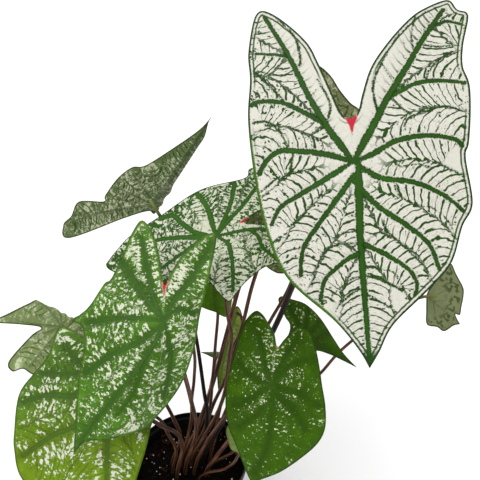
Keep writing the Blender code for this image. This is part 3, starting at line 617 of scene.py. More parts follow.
def flat_leaf(margin):
    """The flat leaf as evenly spread points and the triangles between them."""
    low, high = margin.min(axis=0), margin.max(axis=0)
    columns = np.arange(low[0], high[0], MESH_SPACING)
    rows = np.arange(low[1], high[1], MESH_SPACING * sqrt(3) / 2)
    x, y = np.meshgrid(columns, rows)
    x = x + (np.arange(len(rows)) % 2)[:, None] * MESH_SPACING / 2
    points = np.stack((x.ravel(), y.ravel()), axis=1)
    points = points[inside_outline(points, margin)]
    clear = nearest_on(points, margin, np.roll(margin, -1, axis=0))[0]
    points = points[clear > 0.6 * MESH_SPACING]
    count = len(margin)
    corners = [Vector(point) for point in np.concatenate((margin, points)).tolist()]
    loop = [(index, (index + 1) % count) for index in range(count)]
    found = delaunay_2d_cdt(corners, loop, [], 0, 1e-5, False)
    flat = np.array([tuple(point) for point in found[0]])
    faces = np.array(found[2])
    return flat, faces[inside_outline(flat[faces].mean(axis=1), margin)]


def usual_veins(leaf):
    """Midrib, one vein into each lobe, and side veins that run towards the margin."""
    outline = np.array(leaf["outline"], dtype=float)
    angles = np.arctan2(outline[:, 1], outline[:, 0])
    tip = outline[leaf["tip"]]
    size = float(np.abs(outline).max()) / 80.0
    veins = [(5 * size, 2.4 * size, [(0, 0), tuple(0.5 * tip), tuple(0.96 * tip)])]
    heading = atan2(tip[1], tip[0])
    side_veins = (
        (38, 0.14, 0.86), (66, 0.03, 0.88), (98, 0.0, 0.9), (136, 0.0, 0.92), (164, 0.0, 0.9),
    )
    for side in (-1, 1):
        for turn, start, share in side_veins:
            aim = heading + side * radians(turn)
            apart = np.abs((angles - aim + pi) % (2 * pi) - pi)
            reach = float(np.hypot(*outline[apart.argmin()])) * share
            end = np.array((cos(aim), sin(aim))) * reach
            start = tip * start
            bend = np.array((sin(heading), -cos(heading))) * side * -0.05 * reach
            middle = start + 0.55 * (end - start) + bend
            veins.append((4 * size, 2.0 * size, [tuple(start), tuple(middle), tuple(end)]))
    return veins


def vein_fields(points, veins):
    """For each point of the flat leaf: distance from the edge of the nearest vein, the
    same for the main veins, the place along the nearest main vein, the distance from the
    line halfway to the next one (its sign tells the two sides apart), the side of the
    vein it lies on, the index of the vein, and 1 where that vein has ended."""
    count = len(points)
    edge, main, second = (np.full(count, 1e9) for unset in range(3))
    along, side, number, other, beyond = (np.zeros(count) for unset in range(5))
    towards, other_way = np.zeros((count, 2)), np.zeros((count, 2))
    for index, (first_width, last_width, line) in enumerate(veins):
        chain = curve_points(line, False, 3.0)
        lengths = np.hypot(*np.diff(chain, axis=0).T)
        runs = np.concatenate(([0.0], np.cumsum(lengths)))
        distance, piece, share, which = nearest_on(points, chain[:-1], chain[1:])
        run = runs[piece] + share * lengths[piece]
        width = first_width + (last_width - first_width) * run / runs[-1]
        if np.hypot(*chain[0]) < 5.0:
            width = width * (0.6 + 0.4 * smoothstep(0.0, 14.0, run))
        from_edge = distance - width / 2
        edge = np.minimum(edge, from_edge)
        if first_width < 2.6:
            continue
        foot = chain[piece] + share[:, None] * (chain[piece + 1] - chain[piece])
        way = (foot - points) / np.maximum(distance, 1e-6)[:, None]
        closer = from_edge < main
        next_best = ~closer & (from_edge < second)
        second = np.where(closer, main, np.where(next_best, from_edge, second))
        other = np.where(closer, number, np.where(next_best, index, other))
        other_way = np.where(
            closer[:, None], towards, np.where(next_best[:, None], way, other_way)
        )
        ended = smoothstep(0.0, 1.0, (run - runs[-1] + 0.5) * 2.0)
        main = np.where(closer, from_edge, main)
        along = np.where(closer, run, along)
        side = np.where(closer, which, side)
        number = np.where(closer, index, number)
        beyond = np.where(closer, ended, beyond)
        towards = np.where(closer[:, None], way, towards)
    spread = np.maximum(np.hypot(*(towards - other_way).T), 0.35)
    seam = (second - main) / spread * np.sign(other - number)
    return edge, main, along, seam, side, number, beyond


def blade_points(leaf, x, y, to_margin, main, along):
    """The upper side with sunken veins and raised fields, then the underside 0.7 mm below
    it with raised ribs."""
    normal = leaf_normals(leaf, x, y)
    away = np.maximum(main, 0.0)
    fade = smoothstep(0.0, 4.0, to_margin)
    depth = FIELD_RISE.get(leaf["look"], USUAL_RISE)
    relief = (depth * (1.0 - np.exp(-away / RISE_REACH)) - 0.55 * depth) * fade
    ripple = RIPPLE * np.sin(2 * pi * along / RIPPLE_SPACING)
    relief += ripple * (1.0 - np.exp(-away / 3.0)) * fade
    upper = leaf_surface(leaf, x, y) + relief[:, None] * normal
    rib = RIB_HEIGHT * np.exp(-(np.maximum(main + 1.2, 0.0) ** 2) / 2.0) * fade
    lower = upper - (BLADE_THICKNESS + rib)[:, None] * normal
    return np.concatenate((upper, lower)) @ leaf_axes(leaf) + np.array(leaf["junction"])


def blade_faces(flat, faces):
    """Triangles of both sides and the faces along the margin, with their material slots."""
    first, second, third = (flat[faces[:, corner]] for corner in range(3))
    ahead, aside = second - first, third - first
    turn = ahead[:, 0] * aside[:, 1] - ahead[:, 1] * aside[:, 0]
    faces[turn < 0] = faces[turn < 0][:, ::-1]
    count = len(flat)
    sides = np.concatenate((faces[:, (0, 1)], faces[:, (1, 2)], faces[:, (2, 0)]))
    keys = sides[:, 0] * count + sides[:, 1]
    back = sides[:, 1] * count + sides[:, 0]
    rim = sides[~np.isin(keys, back)]
    rim_faces = [(b, a, a + count, b + count) for a, b in rim.tolist()]
    every = faces.tolist() + (faces[:, ::-1] + count).tolist() + rim_faces
    return every, [0] * len(faces) + [1] * len(faces) + [0] * len(rim_faces)


def leaf_marking(leaf, marks, x, y, to_margin, main, beyond, size):
    """Share of white, the pink mark, and where the net of veins is calm."""
    reach = np.hypot(x, y)
    notch = np.array(leaf["outline"][0], dtype=float)
    turned_away = np.arctan2(y, x) - atan2(notch[1], notch[0])
    turned_away = np.abs((turned_away + pi) % (2 * pi) - pi)
    inner = smoothstep(radians(32), radians(20), turned_away) * smoothstep(6, 14, reach)
    calm = np.maximum(inner, smoothstep(25.0, 13.0, reach))
    calm = np.maximum(calm, beyond * smoothstep(0.0, 1.5, main))
    middle = smoothstep(0.0, 0.30 * size, to_margin)
    white = marks["rim"] + (marks["white"] - marks["rim"]) * middle
    white += marks["tip"] * smoothstep(0.1, 0.8, -y / size)
    white += marks["right"] * x / size
    white += marks["core"] * np.exp(-((reach / (0.36 * size)) ** 2))
    white += marks["inner"] * inner
    below = notch[1] - y
    pink_width, pink_length = marks["pink"]
    share = np.clip(below / max(pink_length, 1.0), 0.0, 1.0)
    half_width = 0.5 * pink_width * (1.0 - share) ** 2.4 + 0.9 * (1.0 - share) - 0.3
    centre = notch[0] * (1.0 - np.clip(below, 0, 90) / max(notch[1], 1.0))
    pink = smoothstep(0.8, -0.8, np.abs(x - centre) - half_width)
    pink *= smoothstep(-pink_width - 1.0, -pink_width, below) if pink_length else 0.0
    return white, pink, calm


def build_blade(number, leaf):
    margin = leaf_margin(leaf)
    flat, faces = flat_leaf(margin)
    to_margin = nearest_on(flat, margin, np.roll(margin, -1, axis=0))[0]
    veins = VEINS.get(number) or usual_veins(leaf)
    edge, main, along, seam, side, vein, beyond = vein_fields(flat, veins)
    x, y = flat.T
    points = blade_points(leaf, x, y, to_margin, main, along)
    name = "leaf_%s" % number
    mesh = make_mesh(name, points, *blade_faces(flat, faces))
    size = float(np.hypot(*margin.T).max())
    layers = {
        "leaf": (x, y, to_margin),
        "vein": (edge, main, seam),
        "run": (along, side, vein),
        "mark": leaf_marking(leaf, MARKS[number], x, y, to_margin, main, beyond, size),
    }
    for layer, values in layers.items():
        put_attribute(mesh, layer, *(np.tile(value, 2) for value in values))
    materials = [leaf_upper_material(number), leaf_under_material(number)]
    return add_piece(name, mesh, materials, [name + "_blade"])


# ---------------------------------------------------------------- materials


class Value:
    """An output of a shader node. Sums and products of it make more nodes."""

    def __init__(self, graph, socket):
        self.graph = graph
        self.socket = socket

    def __add__(self, other):
        return self.graph.math("ADD", self, other)

    def __sub__(self, other):
        return self.graph.math("SUBTRACT", self, other)

    def __rsub__(self, other):
        return self.graph.math("SUBTRACT", other, self)

    def __mul__(self, other):
        return self.graph.math("MULTIPLY", self, other)

    __radd__ = __add__
    __rmul__ = __mul__


class Graph:
    """Short names for the shader nodes of one material."""

    def __init__(self, name):
        self.material = bpy.data.materials.new(name)
        self.material.use_nodes = True
        self.tree = self.material.node_tree
        self.shader = self.tree.nodes["Principled BSDF"]

    def put(self, value, socket):
        if isinstance(value, Value):
            self.tree.links.new(value.socket, socket)
        elif isinstance(value, tuple) and socket.type == "RGBA":
            socket.default_value = colour(value)
        else:
            socket.default_value = value

    def set(self, node=None, **values):
        """Inputs by name, with _ for a space, of a node or else of the surface shader."""
        for name, value in values.items():
            self.put(value, (node or self.shader).inputs[name.replace("_", " ")])

    def node(self, kind, result=0, settings=None, **values):
        """A new node with its settings and inputs: gives the output of that name."""
        node = self.tree.nodes.new("ShaderNode" + kind)
        for name, value in (settings or {}).items():
            setattr(node, name, value)
        self.set(node, **values)
        return Value(self, node.outputs[result])

    def attribute(self, name):
        """The three numbers of a vector attribute."""
        return self.split(self.node("Attribute", "Vector", {"attribute_name": name}))

    def split(self, vector):
        first = self.node("SeparateXYZ", Vector=vector)
        return [Value(self, socket) for socket in first.socket.node.outputs]

    def join(self, x, y, z):
        return self.node("CombineXYZ", X=x, Y=y, Z=z)

    def place(self):
        """The place on the object, in millimetres."""
        return self.shade(self.node("TexCoord", "Object"), 1.0 / MM)

    def math(self, operation, first, second=0.0):
        value = self.node("Math", settings={"operation": operation})
        for part, socket in zip((first, second), value.socket.node.inputs):
            self.put(part, socket)
        return value

    def absolute(self, value):
        return self.math("ABSOLUTE", value)

    def most(self, first, second):
        return self.math("MAXIMUM", first, second)

    def step(self, value, low, high):
        """0 below low and 1 above high, with a soft change between. For low above high
        it runs the other way."""
        ends = {"From_Min": low, "From_Max": high}
        if low > high:
            ends = {"From_Min": high, "From_Max": low, "To_Min": 1.0, "To_Max": 0.0}
        return self.node(
            "MapRange", 0, {"interpolation_type": "SMOOTHSTEP"}, Value=value, **ends
        )

    def noise(self, vector, scale, detail=2.0, rough=0.5):
        return self.node(
            "TexNoise", "Fac", Vector=vector, Scale=scale, Detail=detail, Roughness=rough
        )

    def cells(self, vector, scale, result):
        return self.node("TexVoronoi", result, Vector=vector, Scale=scale)

    def mix(self, share, first, second):
        return self.node("Mix", "Result", {"data_type": "RGBA"}, Factor=share, A=first, B=second)

    def shade(self, tint, factor):
        """A colour made lighter or darker by a factor, or a vector that much longer."""
        value = self.node("VectorMath", 0, {"operation": "SCALE"}, Scale=factor)
        self.put(tint, value.socket.node.inputs[0])
        return value

    def seen(self, tint):
        """A leaf colour, as it looks in the light of this scene."""
        value = self.node("RGB")
        value.socket.default_value = colour(tint, LEAF_GAIN)
        return value

    def bump(self, height, distance, strength=1.0):
        """Fine relief, with the distance in millimetres."""
        self.set(Normal=self.node(
            "Bump", "Normal", Strength=strength, Distance=distance * MM, Height=height
        ))


def leaf_marks(g, number, under=False):
    """What both sides of a leaf share, each from 0 to 1 unless it is a length."""
    marks = MARKS[number]
    m = {}
    m["x"], m["y"], m["margin"] = g.attribute("leaf")
    edge, main, seam = g.attribute("vein")
    along, side, vein = g.attribute("run")
    white, m["pink"], calm = g.attribute("mark")
    flat = g.join(m["x"] + 17.3 * int(number), m["y"], 0.0)  # its own noise for each leaf
    ragged = g.noise(flat, 0.85, 2.0, 0.6)
    slow = g.noise(flat, 0.22, 1.0)
    wander = (ragged - 0.5) * 2.6 + (slow - 0.5) * 1.4
    away = g.most(main, 0.0)

    # Flecks: runs of them follow the cross veins, so their space is stretched along those
    across = vein * 7.1 + side * 3.3
    crossing = g.join(along * 0.9, away * 0.42, across)
    grain = 1.0 / marks["grain"]
    blots = g.noise(flat, 0.42 * grain, 2.0, 0.6)
    specks = g.noise(flat, 1.15 * grain, 2.0, 0.65)
    threads = g.noise(crossing, grain, 1.0, 0.5)
    patches = g.noise(flat, 0.05, 1.0)
    mixed = blots * 0.4 + specks * 0.62 + threads * 0.78 - 0.40
    mixed = mixed - (0.72 - white * 0.44 - (patches - 0.5) * marks["patch"])
    if LEAVES[number]["look"] != "white" and not under:
        mixed = mixed - g.step(away + wander, 2.4, 0.3) * 0.13

    # Cross veins: lines at a steady spacing along the main vein, which lean outwards, and
    # a scalloped line where those of two main veins meet
    lean = away * -0.012 + away * away * -0.0055
    turns = along * (1.0 / 5.6) + lean + side * 0.25 + (slow - 0.5) * 0.45 + 40.0
    from_line = g.absolute(g.math("FRACT", turns) - 0.5)
    which = g.join(g.math("FLOOR", turns), across, away * 0.07)
    fate = g.noise(which, 0.9, 1.0)
    thick = 0.058 + g.step(fate, 0.38, 0.60) * 0.075 + (ragged - 0.5) * 0.06
    line = g.step(from_line - thick, 0.035, -0.035)
    line = line * g.step(fate, 0.27, 0.33) * g.step(away, 0.0, 1.0)
    fine = g.absolute(g.math("FRACT", turns * 4.0) - 0.5)
    fine = g.step(fine, 0.24, 0.10) * g.step(g.noise(crossing, 0.85, 1.0), 0.5, 0.58)
    scallop = from_line * 4.0 + (slow - 0.5) * 5.0 - 1.0
    meeting = g.absolute(seam + scallop) + (ragged - 0.5) - 0.15
    meeting = g.step(meeting, 0.85, 0.45) * g.step(g.noise(flat, 0.09, 1.0), 0.33, 0.39)
    rest = (1.0 - calm * 0.94) * g.step(m["margin"], 1.8, 3.0)
    net = g.most(line, meeting) * rest
    lines = net * marks["net"]
    if marks["dots"]:
        stretched = g.join(along * 1.1, away * 0.36, vein)
        dots = g.step(g.noise(stretched, 0.95, 1.0, 0.5), 0.65 - 0.03 * marks["dots"], 0.70)
        dots = dots * g.step(g.noise(flat, 0.075, 1.0), 0.42, 0.62) * marks["dots"] * rest
        lines = g.most(lines, dots)
    m.update(flat=flat, away=away, ragged=ragged, slow=slow, edge=edge, specks=specks)
    m.update(net=net, lines=lines, fine=fine * rest * marks["net"])
    m.update(fields=g.step(mixed, -0.015, 0.03), halo=g.step(mixed, -0.10, 0.0))
    m.update(veins=g.step(edge + wander, 0.35, -0.45))
    return m


def tall_leaf_margin(g, m, amount, tint, tone):
    """Leaf 01: green tip, lit green left margin, and a fine line along the rest."""
    tip = g.step(m["y"] + m["ragged"] * 8.0, -122.0, -129.0)
    left = g.step(m["x"], -8.0, -24.0) * g.step(m["y"], 40.0, 0.0)
    band = left * g.step(m["margin"] + m["ragged"] * 2.4, 3.7, 2.7)
    lit = g.shade(g.seen(LIT_EDGE), tone)
    tint = g.mix(band * g.step(m["margin"], 2.4, 1.2), tint, lit)
    notch = g.step(m["y"], 20.0, 34.0) * g.step(m["y"], 66.0, 52.0)
    inner = g.step(g.absolute(m["margin"] - 2.9 - m["slow"]), 0.8, 0.4)
    inner = inner * (1.0 - left) * (1.0 - notch)
    return amount * (1.0 - tip) * (1.0 - band) * (1.0 - inner * 0.95), tint


def leaf_upper_material(number):
    g = Graph("Leaf %s upper side" % number)
    m = leaf_marks(g, number)
    look = LEAVES[number]["look"]
    edge, margin = m["edge"], m["margin"]
    broad = g.noise(m["flat"], 0.035, 2.0)
    mottle = g.noise(m["flat"], 0.5, 3.0, 0.6)
    tone = 0.54 + broad * 0.52 + mottle * 0.40
    if look != "white":
        middling = g.noise(m["flat"], 0.13, 2.0, 0.6)
        # Painted shade: darker within 6.5 mm of the main veins, where they lie in grooves,
        # lighter on the raised fields.
        tone = tone * (0.84 + g.step(m["away"], 0.0, 6.5) * 0.23)
        tone = tone * (0.70 + middling * 0.6) * (0.76 + m["specks"] * 0.48)
    green = g.seen(UPPER_GREENS.get(number, UPPER_GREEN))
    # Leaf 04 towards its tip: painted light shining through the leaf.
    if number == "04":
        green = g.mix(g.step(m["y"] + broad * 60.0, 36.0, -24.0), green, g.seen(BACKLIT_TIP))
    green = g.shade(green, tone)
    # Broad lighter patches: painted sheen over the leaf's own uneven tone.
    green = g.mix(g.step(broad, 0.55, 0.75), green, g.shade(green, 1.25))
    # The middle of the veins is drawn lighter, a painted sheen; on the white leaves their edges
    # are drawn darker, painted shade.
    core = g.step(edge, -0.5, -1.7)
    if look == "white":
        vein_green = g.mix(core, g.shade(green, 0.7), g.shade(green, 1.1))
        tint = g.mix(m["veins"], g.shade(green, 0.8), vein_green)
    else:
        halo = g.mix(0.45, green, g.shade(g.seen(HALO_GREEN), tone))
        # pale is the strength of the painted sheen along the middle of the veins
        pale, clear = (0.0, 0.5) if look == "dark" else (0.4, 0.8)
        near = core * pale * g.step(edge, -0.9, -1.7)
        vein_green = g.mix(near, g.mix(0.6, green, g.seen(VEIN_DARK)), g.seen(VEIN_SHEEN))
        tint = g.mix(m["halo"], green, halo)
        tint = g.mix(m["net"] * (0.7 * MARKS[number]["net"]), tint, g.shade(green, 0.6))
        tint = g.mix(m["veins"] * clear, tint, vein_green)
    white = g.mix(g.step(mottle, 0.35, 0.75), g.seen(DULL_WHITE), g.seen(LEAF_WHITE))
    amount = m["fields"] * (1.0 - m["veins"]) * (1.0 - m["lines"]) * (1.0 - m["fine"] * 0.34)
    if number == "01":
        amount, tint = tall_leaf_margin(g, m, amount, tint, tone)
    else:
        white = g.mix(0.8, white, g.seen(FLECK_WHITE))
    rim = {"01": 0.5, "02": 0.0}.get(number, 1.4)
    amount = amount * (1.0 - g.step(margin + m["ragged"] * 1.4, 2.0 + rim, 1.2 + rim))
    tint = g.mix(g.step(margin, 1.7, 0.8) * 0.75, tint, g.shade(tint, 0.45))
    tint = g.mix(amount, tint, white)
    flush = g.mix(g.step(m["pink"], 0.4, 0.9), g.seen(VEIN_PINK), g.seen(LEAF_PINK))
    tint = g.mix(g.step(m["pink"] + (m["ragged"] - 0.5) * 0.5, 0.25, 0.6), tint, flush)
    gloss = {"white": 0.14, "dark": 0.09}.get(look, 0.17)
    g.set(Base_Color=tint, Roughness=0.42 + mottle * 0.2, Specular_IOR_Level=gloss)
    g.bump(mottle * 0.5 + g.step(edge, -0.5, 2.5) * 0.7 - m["net"] * 0.5, 0.45, 0.8)
    return g.material


def leaf_under_material(number):
    g = Graph("Leaf %s underside" % number)
    m = leaf_marks(g, number, True)
    broad = g.noise(m["flat"], 0.05, 2.0)
    mottle = g.noise(m["flat"], 0.6, 3.0, 0.6)
    tone = 0.62 + broad * 0.46 + mottle * 0.30
    # Darker near the main veins: painted shade, as on the upper side.
    tone = tone * (0.88 + g.step(m["away"], 0.0, 7.0) * 0.16)
    dark, middle, pale = (g.shade(g.seen(c), tone) for c in UNDERS.get(number, UNDER))
    tint = g.mix(g.most(m["fields"], m["halo"] * 0.35), middle, pale)
    scale = max(hypot(x, y) for x, y in LEAVES[number]["outline"]) / 90.0
    thin = g.step(m["edge"], -0.35 * scale, -1.1 * scale) * 0.55
    tint = g.mix(g.most(thin, m["net"] * 0.85), tint, dark)
    tint = g.mix(m["fine"] * 0.4, tint, dark)
    tint = g.mix(g.step(m["margin"], 1.6, 0.9) * 0.85, tint, g.seen(UNDER_RIM))
    g.set(Base_Color=tint, Roughness=0.55 + mottle * 0.15, Specular_IOR_Level=0.12)
    g.bump(mottle * 0.5 + m["veins"] * 0.5 + m["net"] * 0.4, 0.4, 0.8)
    return g.material


def stalk_material(name, low, high, top):
    """Streaked bark: low and high are the browns, and top the colour below the blade."""
    g = Graph(name)
    across, around, along = g.attribute("bark")
    to_blade = g.attribute("stalk")[0]
    streak = g.noise(g.join(across * 2.2, around * 2.2, along * 0.03), 0.9, 3.0, 0.6)
    blotch = g.noise(g.join(across, around, along * 0.09), 1.2, 2.0)
    # Streaks mix the two browns: real streaks, with the light brown partly painted highlight and
    # the dark brown partly painted shade.
    tint = g.mix(g.step(streak, 0.40, 0.64), low, high)
    tint = g.shade(tint, 0.55 + blotch * 0.9)
    # Darker towards the foot of the stalk.
    darker_foot = g.step(along + blotch * 24.0, 75.0, 25.0)
    tint = g.shade(tint, 1.0 - darker_foot * 0.5)
    tint = g.mix(g.step(to_blade + blotch * 18.0, 46.0, 12.0), tint, top)
    g.set(Base_Color=tint, Roughness=0.42 + streak * 0.2, Specular_IOR_Level=0.15)
    g.bump(streak, 0.25, 0.6)
    return g.material


def soil_material():
    g = Graph("Damp potting mix")
    place = g.place()
    coarse = g.noise(place, 0.28, 3.0, 0.6)
    fine = g.noise(place, 1.6, 3.0, 0.7)
    tint = g.mix(g.step(coarse, 0.35, 0.7), (0.015, 0.010, 0.007), (0.060, 0.038, 0.027))
    tint = g.mix(g.step(fine, 0.60, 0.72), tint, (0.17, 0.105, 0.07))
    g.set(Base_Color=tint, Roughness=0.78 + fine * 0.2, Specular_IOR_Level=0.05)
    g.bump(coarse + fine * 0.8 + g.cells(place, 0.55, "Distance") * 0.5, 1.0, 1.0)
    return g.material


def grain_material(name, dark, light, scale, roughness):
    """Crumbs, bark and perlite: one colour that changes from grain to grain."""
    g = Graph(name)
    place = g.place()
    share = g.split(g.cells(place, 0.25, "Color"))[0]
    fine = g.noise(place, scale, 3.0, 0.7)
    tint = g.mix((share + fine) * 0.5, dark, light)
    g.set(Base_Color=tint, Roughness=roughness, Specular_IOR_Level=0.06)
    g.bump(fine, 0.5, 1.0)
    return g.material


def pot_material():
    g = Graph("Black nursery plastic")
    place = g.place()
    x, y, z = g.split(place)
    fine = g.noise(place, 1.4, 3.0, 0.6)
    scuffs = g.noise(g.join(x * 0.3, y * 0.3, z * 2.0), 0.5, 4.0, 0.7)
    dust = g.step(g.noise(place, 0.06, 4.0, 0.65), 0.50, 0.72)
    tint = g.mix(dust * 0.6, (0.02, 0.02, 0.02), (0.085, 0.08, 0.075))
    tint = g.mix(g.step(scuffs, 0.63, 0.70), tint, (0.12, 0.12, 0.115))
    g.set(Base_Color=tint, Roughness=0.36 + scuffs * 0.25 + dust * 0.15, Specular_IOR_Level=0.2)
    g.bump(fine * 0.5 + scuffs * 0.4, 0.12, 0.8)
    return g.material


def tuber_material():
    g = Graph("Tuber skin")
    place = g.place()
    x, y, z = g.split(place)
    rings = g.noise(g.join(x * 0.3, y * 0.3, z), 0.5, 3.0, 0.6)
    fine = g.noise(place, 0.9, 3.0, 0.7)
    tint = g.mix(g.step(rings, 0.35, 0.65), (0.28, 0.18, 0.11), (0.46, 0.33, 0.21))
    g.set(Base_Color=tint, Roughness=0.7 + fine * 0.2)
    g.bump(rings + fine * 0.5, 0.8, 1.0)
    return g.material


def shoot_material():
    g = Graph("Young shoot skin")
    x, y, z = g.split(g.place())
    streak = g.noise(g.join(x * 1.6, y * 1.6, z * 0.15), 1.0, 3.0, 0.6)
    height = g.step(z, SOIL_TOP, SOIL_TOP + SHOOT_HEIGHT)
    tint = g.mix(height, (0.56, 0.60, 0.38), (0.38, 0.50, 0.22))
    tint = g.mix(g.step(streak, 0.52, 0.72), tint, (0.50, 0.36, 0.28))
    g.set(Base_Color=tint, Roughness=0.40 + streak * 0.15, Specular_IOR_Level=0.4)
    g.bump(streak, 0.2, 0.6)
    return g.material


def floor_material():
    g = Graph("Pale floor")
    tint = g.mix(g.noise(g.place(), 0.004, 3.0), (0.965,) * 3, (0.985,) * 3)
    g.set(Base_Color=tint, Roughness=0.9, Specular_IOR_Level=0.0)
    return g.material


# ---------------------------------------------------------------- stalks, pot and mix


def tuber_top(radius):
    share = min(max(radius, 0.0) / TUBER_RADIUS, 1.0)
    return TUBER_CENTRE + TUBER_HALF_HEIGHT * sqrt(1.0 - share * share)


def inner_radius(z):
    share = (z - POT_FLOOR) / (POT_HEIGHT - POT_LIP_HEIGHT - POT_FLOOR)
    bottom = POT_BASE_RADIUS - POT_WALL
    top = POT_RADIUS - POT_LIP_STEP - POT_WALL
    return bottom + (top - bottom) * share


def soil_bump(x, y):
    ripple = sin(x / 6.1 + 0.7) * cos(y / 7.3) + 0.6 * sin(y / 4.2 + x / 9.5 + 2.0)
    return SOIL_BUMP * ripple


def tube_path(points, widths, steps):
    """Centres and widths along the same smooth curve as in the CAD model: it is straight
    up to its second point."""
    curve = bpy.data.curves.new("path", "CURVE")
    curve.dimensions = "3D"
    spline = curve.splines.new("BEZIER")
    spline.bezier_points.add(len(points) - 1)
    knots = spline.bezier_points
    for knot, point in zip(knots, points):
        knot.co = Vector(point)
        knot.handle_left_type = "AUTO"
        knot.handle_right_type = "AUTO"
    knots[0].handle_right_type = "VECTOR"
    knots[1].handle_left_type = "VECTOR"
    obj = add_object("path", curve)
    bpy.context.view_layer.update()
    centres, sizes = [], []
    for index in range(len(points) - 1):
        first, last = knots[index], knots[index + 1]
        for step in range(steps):
            t = step / steps
            u = 1.0 - t
            centre = u**3 * first.co + 3 * u * u * t * first.handle_right
            centre += 3 * u * t * t * last.handle_left + t**3 * last.co
            centres.append(np.array(centre))
            sizes.append(widths[index] * u + widths[index + 1] * t)
    centres.append(np.array(knots[-1].co))
    sizes.append(widths[-1])
    bpy.data.objects.remove(obj, do_unlink=True)
    bpy.data.curves.remove(curve)
    return np.array(centres), sizes


def tube_mesh(name, points, widths, steps):
    """A round tube with closed ends. Its points know their place round it and along it."""
    centres, sizes = tube_path(points, widths, steps)
    tangents = np.gradient(centres, axis=0)
    tangents /= np.linalg.norm(tangents, axis=1)[:, None]
    across = np.array((1.0, 0.0, 0.0))
    sides, count = TUBE_SIDES, len(centres)
    rings = []
    for centre, tangent, size in zip(centres, tangents, sizes):
        across = across - (across @ tangent) * tangent
        across /= np.linalg.norm(across)
        up = np.cross(tangent, across)
        for side in range(sides):
            angle = 2 * pi * side / sides
            rings.append(centre + size / 2 * (cos(angle) * across + sin(angle) * up))
    faces = []
    for start in range(0, (count - 1) * sides, sides):
        for side in range(sides):
            a, b = start + side, start + (side + 1) % sides
            faces.append((a, b, b + sides, a + sides))
    faces.append(tuple(reversed(range(sides))))
    faces.append(tuple(range((count - 1) * sides, count * sides)))
    mesh = make_mesh(name, np.array(rings), faces)
    runs = np.concatenate(([0.0], np.cumsum(np.linalg.norm(np.diff(centres, axis=0), axis=1))))
    angle = np.tile(np.arange(sides) * 2 * pi / sides, count)
    along = np.repeat(runs, sides)
    put_attribute(mesh, "bark", np.cos(angle), np.sin(angle), along)
    put_attribute(mesh, "stalk", runs[-1] - along, 0 * along, 0 * along)
    return mesh


def build_stalk(number, leaf, material):
    x, y = leaf["stalk_foot"]
    width = leaf["stalk_width"]
    foot = tuber_top(sqrt(x * x + y * y) - width / 2) + SEAT_GAP
    up = Vector(leaf_axes(leaf)[2])
    end = Vector(leaf["junction"]) - up * (BLADE_THICKNESS + STALK_GAP)
    points = [(x, y, foot), (x, y, SOIL_TOP + STALK_COLLAR)]
    points += leaf["stalk"]
    points += [end - up * STALK_LEAD, end]
    last = len(points) - 1
    widths = [width * (1.0 - (1.0 - STALK_TAPER) * index / last) for index in range(last + 1)]
    name = "leaf_%s_stem" % number
    mesh = tube_mesh(name, points, widths, STALK_STEPS)
    return add_piece(name, mesh, [material], ["leaf_%s_stalk" % number])


def build_shoot():
    x, y = SHOOT_FOOT
    points = [
        (x, y, SOIL_TOP - SHOOT_DEPTH),
        (x, y, SOIL_TOP + 1.0),
        (x + 0.5, y - 0.5, SOIL_TOP + 0.6 * SHOOT_HEIGHT),
        (x + 1.5, y - 1.0, SOIL_TOP + SHOOT_HEIGHT),
    ]
    widths = [SHOOT_WIDTH, SHOOT_WIDTH, 0.8 * SHOOT_WIDTH, 0.15 * SHOOT_WIDTH]
    mesh = tube_mesh("young_shoot", points, widths, SHOOT_STEPS)
    return add_piece("young_shoot", mesh, [shoot_material()], ["shoot"])


def turned(profile, steps):
    """Points and faces turned from (radius, height) points. A point on the axis is
    shared by the whole turn."""
    points, first = [], []
    for radius, z in profile:
        first.append(len(points))
        if radius == 0.0:
            points.append((0.0, 0.0, z))
            continue
        for step in range(steps):
            angle = 2 * pi * step / steps
            points.append((radius * cos(angle), radius * sin(angle), z))
    faces = []
    for ring in range(len(profile) - 1):
        a, b = first[ring], first[ring + 1]
        for step in range(steps):
            other = (step + 1) % steps
            if profile[ring][0] == 0.0:
                faces.append((a, b + step, b + other))
            elif profile[ring + 1][0] == 0.0:
                faces.append((a + step, b, a + other))
            else:
                faces.append((a + step, b + step, b + other, a + other))
    return points, faces


def rounded(profile, radius):
    """The profile with its inner corners rounded."""
    result = [profile[0]]
    corners = np.array(profile)
    for before, corner, after in zip(corners, corners[1:], corners[2:]):
        to_before = np.linalg.norm(before - corner)
        to_after = np.linalg.norm(after - corner)
        reach = min(radius, 0.45 * to_before, 0.45 * to_after)
        start = corner + (before - corner) * reach / to_before
        end = corner + (after - corner) * reach / to_after
        for t in (0.0, 0.33, 0.67, 1.0):
            point = (1 - t) ** 2 * start + 2 * t * (1 - t) * corner + t * t * end
            result.append(tuple(point))
    result.append(profile[-1])
    return result


def drill_drain_holes(pot):
    bm = bmesh.new()
    for index in range(DRAIN_HOLES):
        angle = 2 * pi * (index + 0.3) / DRAIN_HOLES
        made = bmesh.ops.create_cone(
            bm, cap_ends=True, segments=32, radius1=DRAIN_RADIUS * MM,
            radius2=DRAIN_RADIUS * MM, depth=3 * POT_FLOOR * MM,
        )
        centre = Vector((DRAIN_CIRCLE * cos(angle), DRAIN_CIRCLE * sin(angle), POT_FLOOR / 2))
        bmesh.ops.translate(bm, vec=centre * MM, verts=made["verts"])
    drill = bpy.data.meshes.new("drill")
    bm.to_mesh(drill)
    bm.free()
    tool = add_object("drill", drill)
    cut = pot.modifiers.new("Drain holes", "BOOLEAN")
    cut.operation = "DIFFERENCE"
    cut.solver = "EXACT"
    cut.object = tool
    bpy.context.view_layer.update()
    graph = bpy.context.evaluated_depsgraph_get()
    whole = pot.data
    pot.data = bpy.data.meshes.new_from_object(pot.evaluated_get(graph), depsgraph=graph)
    pot.modifiers.clear()
    bpy.data.objects.remove(tool, do_unlink=True)
    for mesh in (drill, whole):
        bpy.data.meshes.remove(mesh)


